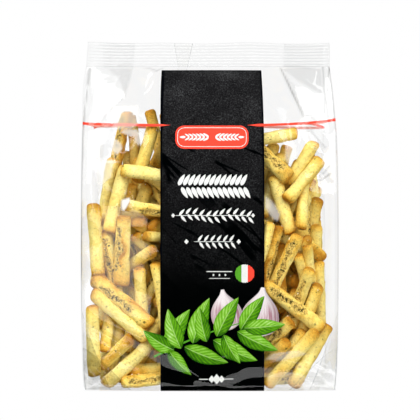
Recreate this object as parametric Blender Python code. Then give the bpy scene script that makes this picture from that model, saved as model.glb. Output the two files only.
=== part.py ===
"""Sealed side-gusset film bag of short breadsticks, as one closed solid.

The film is shut, so the solid is the bag with its contents: a flat base, a front and a back panel of one
width, a pleat (gusset) in each side that opens lower down and folds in towards the top, a gable where the
two panels come together, and a flat ribbed heat seal along the top edge.

Metres, +Z up. The origin is the middle of the base, the shown panel faces -Y and the width runs along X.
"""

import math
from collections import namedtuple

import bmesh
import bpy

# Driving dimensions.
BAG_HEIGHT = 0.212
PANEL_WIDTH = 0.150
GUSSET_WIDTH = 0.058
SEAL_HEIGHT = 0.0155
SEAL_THICKNESS = 0.0012
SEAL_RIB_DEPTH = 0.0002
SEAL_RIBS = 11
BASE_EDGE_RADIUS = 0.003

# Worked out from them.
SEAL_FOOT = BAG_HEIGHT - SEAL_HEIGHT
HALF_PANEL = PANEL_WIDTH / 2
HALF_GUSSET = GUSSET_WIDTH / 2
HALF_SEAL = SEAL_THICKNESS / 2

# How finely the solid is divided.
PANEL_STEPS = 12
GUSSET_STEPS = 4
BASE_EDGE_STEPS = 3
BODY_LEVELS = 29

CONTENTS_COLOUR = (0.78, 0.55, 0.19, 1.0)
FILM_ROUGHNESS = 0.18

# One horizontal slice: half the panel's width, half the depth at its middle and at its corner creases,
# and how far the side pleat is tucked in.
Slice = namedtuple("Slice", "half_width half_depth corner_depth tuck")

# The bag's shape from the base to just under the seal. Low down the contents push the side pleat out, and it
# folds in as the corner creases come together towards the seal.
STATIONS = (
    (0.000, Slice(0.99 * HALF_PANEL, 0.0250, 0.0243, 0.0015)),
    (0.014, Slice(1.00 * HALF_PANEL, 0.0264, 0.0256, 0.0030)),
    (0.060, Slice(1.01 * HALF_PANEL, 0.0275, 0.0262, 0.0045)),
    (0.110, Slice(1.01 * HALF_PANEL, 0.0275, 0.0260, 0.0060)),
    (0.145, Slice(1.005 * HALF_PANEL, 0.0255, 0.0240, 0.0100)),
    (0.165, Slice(1.00 * HALF_PANEL, 0.0200, 0.0182, 0.0175)),
    (0.182, Slice(1.00 * HALF_PANEL, 0.0115, 0.0098, 0.0245)),
    (SEAL_FOOT - 0.002, Slice(HALF_PANEL, 0.0024, 0.0016, 0.98 * HALF_GUSSET)),
)


def clear_scene():
    for obj in list(bpy.data.objects):
        bpy.data.objects.remove(obj, do_unlink=True)


def slopes(heights, values):
    """The slope at each station: that of the chord between its two neighbours."""
    last = len(heights) - 1
    found = []
    for i in range(last + 1):
        below, above = max(i - 1, 0), min(i + 1, last)
        found.append((values[above] - values[below]) / (heights[above] - heights[below]))
    return found


def smooth_value(heights, values, height):
    """A cubic through the stations, read at one height."""
    grade = slopes(heights, values)
    i = max(k for k in range(len(heights) - 1) if heights[k] <= height)
    span = heights[i + 1] - heights[i]
    t = (height - heights[i]) / span
    start = (1 + 2 * t) * (1 - t) ** 2 * values[i] + t * (1 - t) ** 2 * span * grade[i]
    end = t * t * (3 - 2 * t) * values[i + 1] + t * t * (t - 1) * span * grade[i + 1]
    return start + end


def slice_at(height):
    heights = [station[0] for station in STATIONS]
    rows = zip(*(station[1] for station in STATIONS))
    return Slice(*(smooth_value(heights, row, height) for row in rows))


def inset(outline, distance):
    """The same slice with all its sides moved in."""
    return Slice(
        outline.half_width - distance,
        outline.half_depth - distance,
        outline.corner_depth - distance,
        outline.tuck,
    )


def panel_points(outline):
    """Left to right over the front panel, crowned between its two corner creases."""
    points = []
    for i in range(PANEL_STEPS):
        across = 2 * i / PANEL_STEPS - 1
        crown = (outline.half_depth - outline.corner_depth) * (1 - across * across)
        points.append((across * outline.half_width, -outline.corner_depth - crown))
    return points


def gusset_points(outline):
    """Front to back over the right-hand pleat: straight in to its fold and straight out again."""
    points = []
    for i in range(2 * GUSSET_STEPS):
        along = i / GUSSET_STEPS - 1
        fold = outline.tuck * (1 - abs(along))
        points.append((outline.half_width - fold, along * outline.corner_depth))
    return points


def ring(outline, height):
    """The whole slice, anticlockwise from above. Its back half is the front half turned half round."""
    half = panel_points(outline) + gusset_points(outline)
    return [(x, y, height) for x, y in half] + [(-x, -y, height) for x, y in half]


def base_edge_rings():
    """Up round the rounded edge of the flat base."""
    rings = []
    for i in range(BASE_EDGE_STEPS):
        angle = math.pi / 2 * i / BASE_EDGE_STEPS
        height = BASE_EDGE_RADIUS * (1 - math.cos(angle))
        rings.append(ring(inset(slice_at(height), BASE_EDGE_RADIUS * (1 - math.sin(angle))), height))
    return rings


def body_rings():
    """From the top of the base's edge to just under the seal."""
    top = STATIONS[-1][0]
    rings = []
    for i in range(BODY_LEVELS):
        height = BASE_EDGE_RADIUS + (top - BASE_EDGE_RADIUS) * i / (BODY_LEVELS - 1)
        rings.append(ring(slice_at(height), height))
    return rings


def seal_rings():
    """The flat seal, where the pleats lie folded between the panels, with its sealing jaws' ribs across."""
    rings = []
    for i in range(2 * SEAL_RIBS + 1):
        height = SEAL_FOOT + SEAL_HEIGHT * i / (2 * SEAL_RIBS)
        half = HALF_SEAL - SEAL_RIB_DEPTH * (i % 2)
        rings.append(ring(Slice(HALF_PANEL, half, half, 0.0), height))
    return rings


def loft(rings):
    """Joins each ring to the next and caps both ends."""
    bm = bmesh.new()
    loops = [[bm.verts.new(point) for point in points] for points in rings]
    for lower, upper in zip(loops, loops[1:]):
        for i in range(len(lower)):
            after = (i + 1) % len(lower)
            bm.faces.new((lower[i], lower[after], upper[after], upper[i]))
    bm.faces.new(reversed(loops[0]))
    bm.faces.new(loops[-1])
    bmesh.ops.recalc_face_normals(bm, faces=bm.faces)
    return bm


def bag_material():
    material = bpy.data.materials.new("film over breadsticks")
    material.use_nodes = True
    shader = material.node_tree.nodes["Principled BSDF"]
    shader.inputs["Base Color"].default_value = CONTENTS_COLOUR
    shader.inputs["Roughness"].default_value = FILM_ROUGHNESS
    shader.inputs["Metallic"].default_value = 0.0
    return material


def make_bag():
    bm = loft(base_edge_rings() + body_rings() + seal_rings())
    mesh = bpy.data.meshes.new("breadstick_bag")
    bm.to_mesh(mesh)
    bm.free()
    mesh.shade_smooth()
    mesh.set_sharp_from_angle(angle=math.radians(30))
    mesh.materials.append(bag_material())
    bag = bpy.data.objects.new("breadstick_bag", mesh)
    bpy.context.scene.collection.objects.link(bag)
    return bag


clear_scene()
make_bag()
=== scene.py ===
"""Looks of a sealed clear film bag of short herb breadsticks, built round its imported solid.

The film, its seals and its print replace the solid; loose breadsticks, herb flakes and crumbs fill it.
Everything is in metres in the bag's own frame: X across the panel, the shown panel towards -Y, +Z up.
"""

import math

import bpy
import numpy as np
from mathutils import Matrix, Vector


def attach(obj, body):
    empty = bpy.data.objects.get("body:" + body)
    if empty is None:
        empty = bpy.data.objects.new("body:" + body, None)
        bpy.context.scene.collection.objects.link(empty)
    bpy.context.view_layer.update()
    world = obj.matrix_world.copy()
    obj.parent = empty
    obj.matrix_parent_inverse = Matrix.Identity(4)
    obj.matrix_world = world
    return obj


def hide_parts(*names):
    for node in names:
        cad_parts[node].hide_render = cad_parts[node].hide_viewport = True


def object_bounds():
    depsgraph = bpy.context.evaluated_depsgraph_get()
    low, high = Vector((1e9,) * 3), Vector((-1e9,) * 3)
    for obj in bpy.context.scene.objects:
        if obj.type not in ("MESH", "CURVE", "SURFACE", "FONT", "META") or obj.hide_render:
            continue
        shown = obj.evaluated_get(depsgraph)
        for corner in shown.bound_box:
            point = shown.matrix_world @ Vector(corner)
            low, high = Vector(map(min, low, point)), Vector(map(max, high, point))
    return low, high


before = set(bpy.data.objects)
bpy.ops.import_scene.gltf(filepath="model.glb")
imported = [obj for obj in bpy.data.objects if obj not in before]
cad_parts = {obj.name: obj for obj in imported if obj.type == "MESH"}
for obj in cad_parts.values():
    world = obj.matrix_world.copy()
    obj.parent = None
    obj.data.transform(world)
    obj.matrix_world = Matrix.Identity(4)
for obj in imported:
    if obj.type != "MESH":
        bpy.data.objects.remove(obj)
CAD_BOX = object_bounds()

MM = 0.001
CIRCLE = 2 * math.pi

# ---------------------------------------------------------------------------------------------------------
# The bag's sizes. Its height comes from the frame, and the rest are the ones the solid was built with.
BAG_HEIGHT = float(CAD_BOX[1][2] - CAD_BOX[0][2])
SEAL_HEIGHT = 15.5 * MM
SEAL_FOOT = BAG_HEIGHT - SEAL_HEIGHT
RIBS = 8
HALF_PANEL = 75.0 * MM
HALF_PLEAT = 29.0 * MM
SEAL_HALF_GAP = 0.3 * MM
BASE_EDGE = 1.8 * MM

# Heights, and there: half the width, half the depth at the middle and at the corner creases, and the tuck.
STATION_HEIGHT = np.array([0, 14, 60, 110, 145, 165, 182, SEAL_FOOT / MM - 2]) * MM
STATION_WIDTH = np.array([0.99, 1.0, 1.01, 1.01, 1.005, 1.0, 1.0, 1.0]) * HALF_PANEL
STATION_DEPTH = np.array([25.0, 26.4, 27.5, 27.5, 25.5, 20.0, 11.5, 2.4]) * MM
STATION_CORNER = np.array([24.3, 25.6, 26.2, 26.0, 24.0, 18.2, 9.8, 1.6]) * MM
STATION_TUCK = np.array([1.5, 3.0, 4.5, 6.0, 10.0, 17.5, 24.5, 28.4]) * MM

STRIP_MIDDLE = 1.4 * MM
STRIP_HALF = 30.5 * MM
STRIP_TOP = SEAL_FOOT - 2.4 * MM


# ---------------------------------------------------------------------------------------------------------
# Small tools for arrays and meshes.
def smooth_through(heights, values, height):
    """A cubic through the stations: each station's slope is that of the chord between its neighbours."""
    before = np.maximum(np.arange(len(heights)) - 1, 0)
    after = np.minimum(np.arange(len(heights)) + 1, len(heights) - 1)
    grade = (values[after] - values[before]) / (heights[after] - heights[before])
    height = np.clip(height, heights[0], heights[-1])
    i = np.clip(np.searchsorted(heights, height, side="right") - 1, 0, len(heights) - 2)
    span = heights[i + 1] - heights[i]
    t = (height - heights[i]) / span
    start = (1 + 2 * t) * (1 - t) ** 2 * values[i] + t * (1 - t) ** 2 * span * grade[i]
    end = t * t * (3 - 2 * t) * values[i + 1] + t * t * (t - 1) * span * grade[i + 1]
    return start + end


def ease(low, high, value):
    """0 below low, 1 above high, and a smooth S between them. It falls where high is below low."""
    t = np.clip((value - low) / (high - low), 0, 1)
    return t * t * (3 - 2 * t)


def hump(value, middle, half):
    """1 at the middle, and down to 0 in a smooth bell of that half width."""
    return np.exp(-(((value - middle) / half) ** 2))


def ripple(across, up, seed, count, short, long):
    """A sum of plane waves with seeded directions, phases and lengths from short to long; about -1 to 1."""
    rng = np.random.default_rng(seed)
    total = 0.0
    for _ in range(count):
        turn, phase = rng.uniform(0, CIRCLE, 2)
        length = rng.uniform(short, long)
        along = across * math.cos(turn) + up * math.sin(turn)
        total = total + np.sin(CIRCLE * along / length + phase)
    return total / math.sqrt(count)


def joined(*values):
    """The values as one array, broadcast to one shape, with a last index for each of them."""
    return np.stack(np.broadcast_arrays(*values), axis=-1)


def grid_quads(rows, columns, close_columns=False):
    """The four corners of each face of a grid whose points are numbered row by row."""
    last = columns if close_columns else columns - 1
    row, column = np.meshgrid(np.arange(rows - 1), np.arange(last), indexing="ij")
    after = (column + 1) % columns
    here, above = row * columns, (row + 1) * columns
    return joined(here + column, here + after, above + after, above + column).reshape(-1, 4)


def put(name, data):
    """An object for the data, linked to the scene at the origin."""
    made = bpy.data.objects.new(name, data)
    bpy.context.scene.collection.objects.link(made)
    return made


def make_piece(name, points, quads, triangles=None, material=None):
    """A mesh object from arrays of points (n, 3), four-sided faces and, where it has them, triangles."""
    points = np.asarray(points, dtype=np.float64).reshape(-1, 3)
    quads = np.asarray(quads, dtype=np.int64).reshape(-1, 4)
    triangles = np.asarray([] if triangles is None else triangles, dtype=np.int64).reshape(-1, 3)
    corners = np.concatenate([quads.ravel(), triangles.ravel()])
    starts = np.concatenate([4 * np.arange(len(quads)), 4 * len(quads) + 3 * np.arange(len(triangles))])
    mesh = bpy.data.meshes.new(name)
    mesh.vertices.add(len(points))
    mesh.vertices.foreach_set("co", points.ravel())
    mesh.loops.add(len(corners))
    mesh.loops.foreach_set("vertex_index", corners)
    mesh.polygons.add(len(starts))
    mesh.polygons.foreach_set("loop_start", starts)
    mesh.update(calc_edges=True)
    mesh.validate()
    mesh.shade_smooth()
    if material:
        mesh.materials.append(material)
    return put(name, mesh)


def add_number(piece, name, values):
    """A number for each point of the mesh, which its material can read by name."""
    layer = piece.data.attributes.new(name, "FLOAT", "POINT")
    layer.data.foreach_set("value", np.asarray(values, dtype=np.float32).ravel())


def add_place(piece, name, u, v):
    """A UV map from a pair of numbers for each point."""
    pairs = joined(np.ravel(u), np.ravel(v))
    corners = np.zeros(len(piece.data.loops), dtype=np.int64)
    piece.data.loops.foreach_get("vertex_index", corners)
    piece.data.uv_layers.new(name=name).data.foreach_set("uv", pairs[corners].ravel())


def unit(vectors):
    """The vectors' directions, each of length 1."""
    return vectors / np.maximum(np.linalg.norm(vectors, axis=-1, keepdims=True), 1e-12)


# ---------------------------------------------------------------------------------------------------------
# Shader nodes.
def colour(red, green, blue):
    """Linear colour from the usual 0 to 255 values."""
    channels = [c / 255 for c in (red, green, blue)]
    return tuple(c / 12.92 if c <= 0.04045 else ((c + 0.055) / 1.055) ** 2.4 for c in channels) + (1.0,)


def grey(value):
    """A linear grey."""
    return (value, value, value, 1.0)


WHITE = grey(1.0)


class Nodes:
    """A node tree, with a short call for each kind of node it uses."""

    def __init__(self, tree, output):
        self.tree = tree
        self.tree.nodes.clear()
        self.output = self.tree.nodes.new(output)

    def node(self, kind, inputs=(), **settings):
        """A new node with its settings, and its sockets fed by name or number."""
        made = self.tree.nodes.new(kind)
        for key, value in settings.items():
            setattr(made, key, value)
        for key, value in dict(inputs).items():
            self.feed(made.inputs[key], value)
        return made

    def feed(self, socket, value):
        """Links another node's output to the socket, or sets the socket's own value."""
        if isinstance(value, bpy.types.NodeSocket):
            self.tree.links.new(value, socket)
        else:
            socket.default_value = value

    def math(self, operation, first, second=0.0, third=0.0):
        inputs = {0: first, 1: second, 2: third}
        return self.node("ShaderNodeMath", inputs, operation=operation).outputs[0]

    def times(self, first, second):
        return self.math("MULTIPLY", first, second)

    def linear(self, value, scale, shift):
        """The value times the scale, plus the shift."""
        return self.math("MULTIPLY_ADD", value, scale, shift)

    def between(self, value, low, high, start=0.0, end=1.0):
        """'start' before low, 'end' past high, and a smooth S between them."""
        inputs = {"Value": value, "From Min": low, "From Max": high, "To Min": start, "To Max": end}
        return self.node("ShaderNodeMapRange", inputs, interpolation_type="SMOOTHSTEP").outputs[0]

    def mix(self, factor, first, second, blend="MIX"):
        """The first colour at a factor of 0, and all of the second over it at 1."""
        inputs = {0: factor, 6: first, 7: second}
        return self.node("ShaderNodeMix", inputs, data_type="RGBA", blend_type=blend).outputs[2]

    def mix_number(self, factor, first, second):
        return self.node("ShaderNodeMix", {0: factor, 2: first, 3: second}, data_type="FLOAT").outputs[0]

    def parts(self, vector):
        """A vector's x, y and z."""
        return self.node("ShaderNodeSeparateXYZ", {0: vector}).outputs

    def glow(self, strength):
        return self.node("ShaderNodeEmission", {"Color": WHITE, "Strength": strength}).outputs[0]

    def end(self, shader):
        self.feed(self.output.inputs["Surface"], shader)


class Finish(Nodes):
    """One material, whose patterns lie in the piece's own coordinates."""

    def __init__(self, name):
        self.material = bpy.data.materials.new(name)
        self.material.use_nodes = True
        super().__init__(self.material.node_tree, "ShaderNodeOutputMaterial")
        self.place = self.node("ShaderNodeTexCoord").outputs["Object"]

    def number(self, name):
        """The number that the piece carries for each point under that name."""
        return self.node("ShaderNodeAttribute", attribute_name=name).outputs["Fac"]

    def print_place(self):
        """Across and up in the print's own UV map."""
        return self.parts(self.node("ShaderNodeUVMap", uv_map="print").outputs[0])

    def stretched(self, x, y, z, turn=0.0):
        """Object coordinates turned about the depth axis, then scaled by a number for each axis."""
        turned = self.node("ShaderNodeMapping", {"Vector": self.place, "Rotation": (0, turn, 0)})
        return self.node("ShaderNodeMapping", {"Vector": turned.outputs[0], "Scale": (x, y, z)}).outputs[0]

    def noise(self, scale, detail=2.0, rough=0.5, vector=None, distortion=0.0):
        inputs = {
            "Vector": vector or self.place, "Scale": scale, "Detail": detail, "Roughness": rough,
            "Distortion": distortion,
        }
        return self.node("ShaderNodeTexNoise", inputs).outputs["Fac"]

    def ramp(self, factor, stops):
        """A colour for each number, through stops of a position and a colour from 0 to 255."""
        made = self.node("ShaderNodeValToRGB", {"Fac": factor})
        elements = made.color_ramp.elements
        while len(elements) < len(stops):
            elements.new(0.5)
        for element, (position, shade) in zip(elements, stops):
            element.position = position
            element.color = colour(*shade)
        return made.outputs["Color"]

    def bump(self, height, strength, distance):
        """A normal tilted as if the surface stood out by the height."""
        inputs = {"Height": height, "Strength": strength, "Distance": distance}
        return self.node("ShaderNodeBump", inputs).outputs[0]

    def transparent(self, tint=WHITE):
        return self.node("ShaderNodeBsdfTransparent", {"Color": tint}).outputs[0]

    def mirror(self, rough):
        return self.node("ShaderNodeBsdfGlossy", {"Color": WHITE, "Roughness": rough}).outputs[0]

    def diffuse(self, shade):
        return self.node("ShaderNodeBsdfDiffuse", {"Color": shade}).outputs[0]

    def layered(self, share, under, over):
        """The share of the upper shader over the lower one."""
        return self.node("ShaderNodeMixShader", {0: share, 1: under, 2: over}).outputs[0]

    def coated(self, shade, rough, specular, **more):
        """Ends the material as one solid coat."""
        inputs = {"Base Color": shade, "Roughness": rough, "Specular IOR Level": specular, **more}
        return self.end(self.node("ShaderNodeBsdfPrincipled", inputs).outputs[0])

    def inked(self, shade):
        """Ends the material as ink, which lies dull behind the film."""
        return self.coated(shade, 0.8, 0.0)

    def end(self, shader):
        super().end(shader)
        return self.material


# ---------------------------------------------------------------------------------------------------------
# The film's shape.
HEIGHTS = np.append(STATION_HEIGHT, SEAL_FOOT)
WIDTHS = np.append(STATION_WIDTH, HALF_PANEL)
DEPTHS = np.append(STATION_DEPTH, SEAL_HALF_GAP)
CORNERS = np.append(STATION_CORNER, SEAL_HALF_GAP)
TUCKS = np.append(STATION_TUCK, HALF_PLEAT)


def rounded_in(height):
    """How far the round edge of the base pulls the walls in, a quarter circle."""
    below = np.clip(BASE_EDGE - height, 0, BASE_EDGE)
    return BASE_EDGE - np.sqrt(BASE_EDGE**2 - below**2)


def half_width(height):
    """Half the panel's width at a height."""
    return smooth_through(HEIGHTS, WIDTHS, height) - rounded_in(height)


def corner_depth(height):
    """Distance of the corner creases from the middle plane."""
    return smooth_through(HEIGHTS, CORNERS, height) - rounded_in(height)


def crown(height):
    """How much further out the middle of a panel stands than its corner creases."""
    return smooth_through(HEIGHTS, DEPTHS - CORNERS, height)


def tuck(height):
    """How far in the fold of a side pleat lies."""
    return smooth_through(HEIGHTS, TUCKS, height)


def facet(value):
    """A triangle wave from -1 to 1, for flat faces that meet in creases."""
    return 4 * np.abs(value - np.floor(value + 0.5)) - 1


def crumple(across, up, seed, size):
    """Creased film: triangle waves laid over each other at seeded slants, each bent by a slow wave."""
    rng = np.random.default_rng(seed)
    total = 0.0
    for weight in (1.0, 0.45, 0.12):
        turn, phase = rng.uniform(0, math.pi), rng.uniform(0, 1)
        along = (across * math.cos(turn) + up * math.sin(turn)) / size
        bend = 0.22 * ripple(across, up, seed + 7, 3, 2 * size, 4 * size)
        total = total + weight * facet(along + phase + bend)
        size *= 0.6
    return total


# Sharp little folds low on the front film: middle (across, up), slant, droop per mm, where it starts and ends
# across, and height. Millimetres; a fold's line is up = middle + slant (x - x0) + droop (x - x0)^2.
LOW_FOLDS = (
    (50, 24.7, 0, -0.0103, 30, 55, 0.22), (43, 19.6, 0, -0.0179, 31, 74, 0.26),
    (44, 13.5, 0, -0.0289, 33, 66, 0.24), (62, 16.6, -0.42, 0, 52, 74, 0.20),
    (-56, 24.3, 0.47, 0, -66, -45, 0.22), (-60, 12.0, 0.9, 0, -72, -50, 0.16),
    (-20, 20.0, -0.75, 0.004, -40, -2, 0.20), (66, 34, 1.6, 0, 60, 72, 0.16), (58, 8.0, 0.5, 0, 48, 74, 0.16),
)


def low_folds(across, up):
    """Each fold is a bell 0.8 mm wide across its line, and eases out over 5 mm at its ends."""
    total = 0.0
    for x0, z0, slant, droop, start, stop, height in LOW_FOLDS:
        x = across / MM - x0
        away = up / MM - z0 - slant * x - droop * x * x
        away = away / np.sqrt(1 + (slant + 2 * droop * x) ** 2)
        ends = ease(start, start + 5, across / MM) * ease(stop, stop - 5, across / MM)
        total = total + height * MM * np.exp(-((away / 0.8) ** 2)) * ends
    return total


# Dents in the front film: middle (across, up), half width, half height, turn in degrees, depth.
DENTS = (
    (-38.5, 186.0, 3.4, 7.5, -12, 0.9), (-60.0, 187.0, 3.6, 2.0, 10, 0.6), (-56.0, 193.0, 1.8, 2.6, 0, 0.5),
    (-52.0, 146.0, 7.0, 4.0, 25, 0.9), (-60.5, 139.0, 3.2, 6.0, 15, 0.8), (-49.0, 113.0, 2.6, 4.4, 20, 0.7),
    (35.5, 108.0, 3.4, 7.0, 25, 0.8), (62.0, 149.0, 3.6, 9.0, 40, 1.0), (57.0, 158.0, 3.0, 7.0, -40, 0.7),
    (61.0, 130.0, 2.6, 4.5, -60, 1.0), (66.5, 127.0, 2.2, 4.0, 35, 1.0), (47.5, 152.0, 2.4, 7.0, 8, 0.6),
    (-66.5, 118.0, 2.4, 14.0, 4, 0.7), (67.5, 103.0, 2.2, 12.0, -4, 0.6), (-72.5, 172.0, 2.4, 11.0, 0, 0.7),
)


def dents(across, up):
    """Shallow dents with a flat floor and rounded rims, in mm: each an ellipse's falling fourth power."""
    total = 0.0
    for x0, z0, half_x, half_z, turn, depth in DENTS:
        x, z, turn = across / MM - x0, up / MM - z0, math.radians(turn)
        a, b = x * math.cos(turn) + z * math.sin(turn), z * math.cos(turn) - x * math.sin(turn)
        reach = (a / half_x) ** 2 + (b / half_z) ** 2
        total = total - depth * (1 + 0.5 * a / half_x) * np.exp(-(reach**2))
    return total


def under_seal(distance, up):
    """1 below the seal's foot by more than that many millimetres, eased down to 0 at the foot."""
    return ease(SEAL_FOOT, SEAL_FOOT - distance * MM, up)


def past_line(across, up, corner, slope):
    """Distance past a line through a corner along its unit normal 'slope', in mm, with a rounded start."""
    past = slope[0] * (across / MM - corner[0]) + slope[1] * (up / MM - corner[1])
    return np.where(past < 3.5, np.clip(past, 0, None) ** 2 / 7.0, past - 1.75)


def shoulder_facets(across, up):
    """Flat faces that fall back from creases in the shoulders.

    On the right, one face past a crease that runs down from the seal's foot, under another that climbs to
    the seal. On the left, two faces between lines that open from a corner towards the bag's edge.
    """
    corner = (43.6, SEAL_FOOT / MM)
    right = np.minimum(past_line(across, up, corner, (0.931, 0.365)), 1.05 * (corner[1] - up / MM))
    right = right * ease(149 * MM, 165 * MM, up) * ease(74.5 * MM, 70 * MM, across)
    corner = (-51.2, 176.3)
    lower, upper = (past_line(across, up, corner, slope) for slope in ((-0.802, -0.597), (-0.757, 0.654)))
    left = np.minimum(lower, upper) * under_seal(8, up) * ease(-74.5 * MM, -70 * MM, across)
    return -0.15 * MM * (right + left)


# Creases along which the front film is painted grey as their shade: strength at either end, then the line's
# points (across, up). Millimetres.
CREASE_SHADE_LINES = (
    (0.50, 0.80, ((44.0, 195.5), (46.5, 188), (50.0, 178))),
    (0.80, 0.30, ((50.0, 178), (55.6, 163.5))),
    (0.16, 0.10, ((-48.6, 196), (-49.4, 187), (-51.2, 176.5))),
    (0.20, 0.04, ((-51.2, 176.5), (-58, 169), (-65, 162.5))),
    (0.40, 0.20, ((70.6, 197), (69.6, 180), (68.6, 165))),
    (0.30, 0.60, ((61.5, 124), (66, 125), (70.5, 128.5))),
    (0.20, 0.45, ((63.5, 127), (67, 129), (70, 133))),
    (0.10, 0.35, ((55.5, 158), (62, 151), (68, 144))),
    (0.25, 0.10, ((59, 160), (63, 146))),
    (0.10, 0.40, ((-42, 196), (-38, 195.6), (-33.2, 193.6))),
    (0.40, 0.10, ((-33.2, 193.6), (-29, 195.8))),
    (0.15, 0.35, ((48, 195.4), (58, 195.6), (66, 195.0))),
)
# Painted shade: places where the front film is painted grey over the pleats behind it: how grey, then the
# corners, clockwise.
GREY_SHADE_PATCHES = (
    (0.19, ((-57, 195.5), (-49.1, 195.5), (-49.4, 185), (-51.2, 176.8), (-56, 188))),
    (0.15, ((-64.2, 195.5), (-56.5, 195.5), (-55.5, 188), (-59, 191))),
    (0.19, ((44.2, 195.2), (69.6, 195.6), (69.0, 177.5), (55.0, 185.5))),
    (0.12, ((44.2, 195.0), (52.5, 183), (59.5, 163.5), (55.6, 163.5), (49.6, 178))),
    (0.14, ((-78, 66), (-73.5, 66), (-73, 3), (-78, 3))),
    (0.05, ((-75, 183), (-70.5, 183), (-70.5, 163), (-75, 163))),
    (0.06, ((-76, 158), (-71.5, 158), (-71.5, 112), (-76, 112))),
    (0.14, ((73.2, 150), (77.5, 150), (77.5, 15), (73.2, 15))),
)
# Painted highlights: places where the front film is painted white as glare over a crumple: how strong, then
# the corners, clockwise.
PAINTED_GLARE = (
    (0.50, ((-55.1, 152.1), (-51.5, 154.5), (-43.7, 155.1), (-40.1, 152.1), (-42.5, 148.5), (-47.9, 150.9))),
    (0.42, ((-43.7, 154.5), (-39.5, 151.5), (-39.5, 147.3), (-42.5, 144.9), (-44.9, 149.1))),
    (0.46, ((-58.1, 149.7), (-55.1, 149.1), (-52.1, 146.1), (-51.5, 143.1), (-54.5, 139.5), (-58.1, 141.9))),
    (0.70, ((-64.1, 136.0), (-59.9, 136.8), (-53.9, 135.4), (-58.7, 134.2))),
    (0.90, ((-52, 113.2), (-47.2, 114.6), (-46.6, 112.6), (-48.9, 108.4), (-50.7, 106.0), (-52.2, 108.4))),
    (0.30, ((-59.5, 170), (-42.5, 170), (-41.8, 158.6), (-46.5, 154.6), (-56.7, 154.4), (-58.5, 158.1))),
    (0.36, ((-66.8, 137.2), (-56.2, 137.2), (-57.8, 126.4), (-63.2, 121.6), (-66.8, 121.6))),
    (0.30, ((44.5, 147.5), (50.5, 147.5), (51.5, 138.5), (46.5, 133.5), (43.8, 137.5))),
    (0.26, ((32.4, 19.6), (37.2, 23.2), (51.6, 25.0), (57.6, 22.6), (48.0, 20.0), (39.6, 18.6))),
    (0.20, ((33.6, 10.0), (42.0, 13.0), (54.0, 11.2), (64.8, 2.8), (64.8, 0.5), (34.0, 0.5))),
    (0.38, (
        (32.2, 115.6), (35.8, 113.2), (38.8, 109.6), (41.2, 104.8), (40, 100.6), (37, 101.8), (32.2, 108.2),
    )),
)


def crease_shade(across, up):
    """How strongly the painted shade of the creases greys the film: a bell of the distance to each line's
    nearest stretch.
    """
    total = 0.0
    for start, stop, points in CREASE_SHADE_LINES:
        pieces = len(points) - 1
        for step, ((x0, z0), (x1, z1)) in enumerate(zip(points, points[1:])):
            x, z, run_x, run_z = across / MM - x0, up / MM - z0, x1 - x0, z1 - z0
            t = np.clip((x * run_x + z * run_z) / (run_x**2 + run_z**2), 0, 1)
            strength = start + (stop - start) * (step + t) / pieces
            away = np.hypot(x - t * run_x, z - t * run_z)
            total = np.maximum(total, strength * hump(away, 0, 0.55))
    return total


def patched(table, across, up):
    """How strongly a table's patches mark the film: each is the space within all of its sides, softened."""
    total = 0.0
    for amount, corners in table:
        inside = np.inf
        for (x0, z0), (x1, z1) in zip(corners, corners[1:] + corners[:1]):
            run_x, run_z = x1 - x0, z1 - z0
            turned = (across / MM - x0) * run_z - (up / MM - z0) * run_x
            inside = np.minimum(inside, turned / math.hypot(run_x, run_z))
        total = np.maximum(total, amount * ease(-0.5, 0.9, inside))
    return total


def off_creases(across, up):
    """1 over most of a panel, and down to 0 at its corner creases."""
    return 1 - np.clip(np.abs(across) / half_width(up), 0, 1) ** 6


def front_relief(across, up):
    """How far the front film stands out of its plain crowned shape.

    Slack waves everywhere, leaning folds by the foot, facets at the shoulders and puckers at the seal.
    """
    slack = 0.16 * MM * ripple(across, up, 3, 7, 22 * MM, 60 * MM)
    low = ease(38 * MM, 10 * MM, up)
    foot = 0.16 * MM * ripple(across, 1.6 * up, 11, 6, 16 * MM, 44 * MM) * low
    # A long fold by the foot comes down steeply from the left to just right of the middle, and up again.
    x = across / MM - 2
    valley = np.where(x < 0, -0.56 * x, 12 * (1 - np.exp(-np.abs(x) / 16)))
    past = up / MM - valley - 2.6 + 0.8 * ripple(across, up, 13, 4, 14 * MM, 50 * MM)
    foot = foot + 0.36 * MM * np.sin(CIRCLE * past / 18) * np.exp(-((past / 11) ** 2))
    foot = foot + 0.9 * MM * ease(14 * MM, 3 * MM, up)
    loose = ease(96 * MM, 125 * MM, up) * under_seal(9, up)
    shoulder = ease(31 * MM, 40 * MM, np.abs(across)) * loose
    rough = 0.22 + 0.40 * ease(48 * MM, 60 * MM, np.abs(across)) * ease(164 * MM, 150 * MM, up)
    creased = (rough * crumple(across, up, 5, 36 * MM) + dents(across, up)) * MM * shoulder
    pucker = 0.05 * MM * np.sin(across / (1.1 * MM) + 3 * ripple(across, up, 9, 3, 20 * MM, 60 * MM))
    pucker = pucker * ease(SEAL_FOOT - 16 * MM, SEAL_FOOT - 4 * MM, up) * under_seal(2, up)
    relief = (slack + foot + creased) * off_creases(across, up) + pucker
    relief = relief + low_folds(across, up) + shoulder_facets(across, up)
    return relief * ease(0, 4 * MM, up)


def back_relief(across, up):
    """How far the back film stands out of its plain shape: slack waves, and crumples under the seal."""
    slack = 0.3 * MM * ripple(across, up, 23, 7, 22 * MM, 70 * MM)
    top = ease(130 * MM, 160 * MM, up) * under_seal(14, up)
    relief = slack + 0.4 * MM * crumple(across, up, 25, 24 * MM) * top
    return relief * off_creases(across, up) * ease(0, 4 * MM, up)


def panel_depth(across, up, relief):
    """Distance of a panel from the middle plane: its corner depth, its parabolic crown and its relief."""
    share = np.clip(across / half_width(up), -1, 1)
    return corner_depth(up) + crown(up) * (1 - share**2) + relief(across, up)


def splayed(x, z):
    """The left edge leans out below the seal, where the bag stands open a little wider."""
    return x - 2.6 * MM * hump(z, 190 * MM, 30 * MM) * ease(0, -70 * MM, x)


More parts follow.
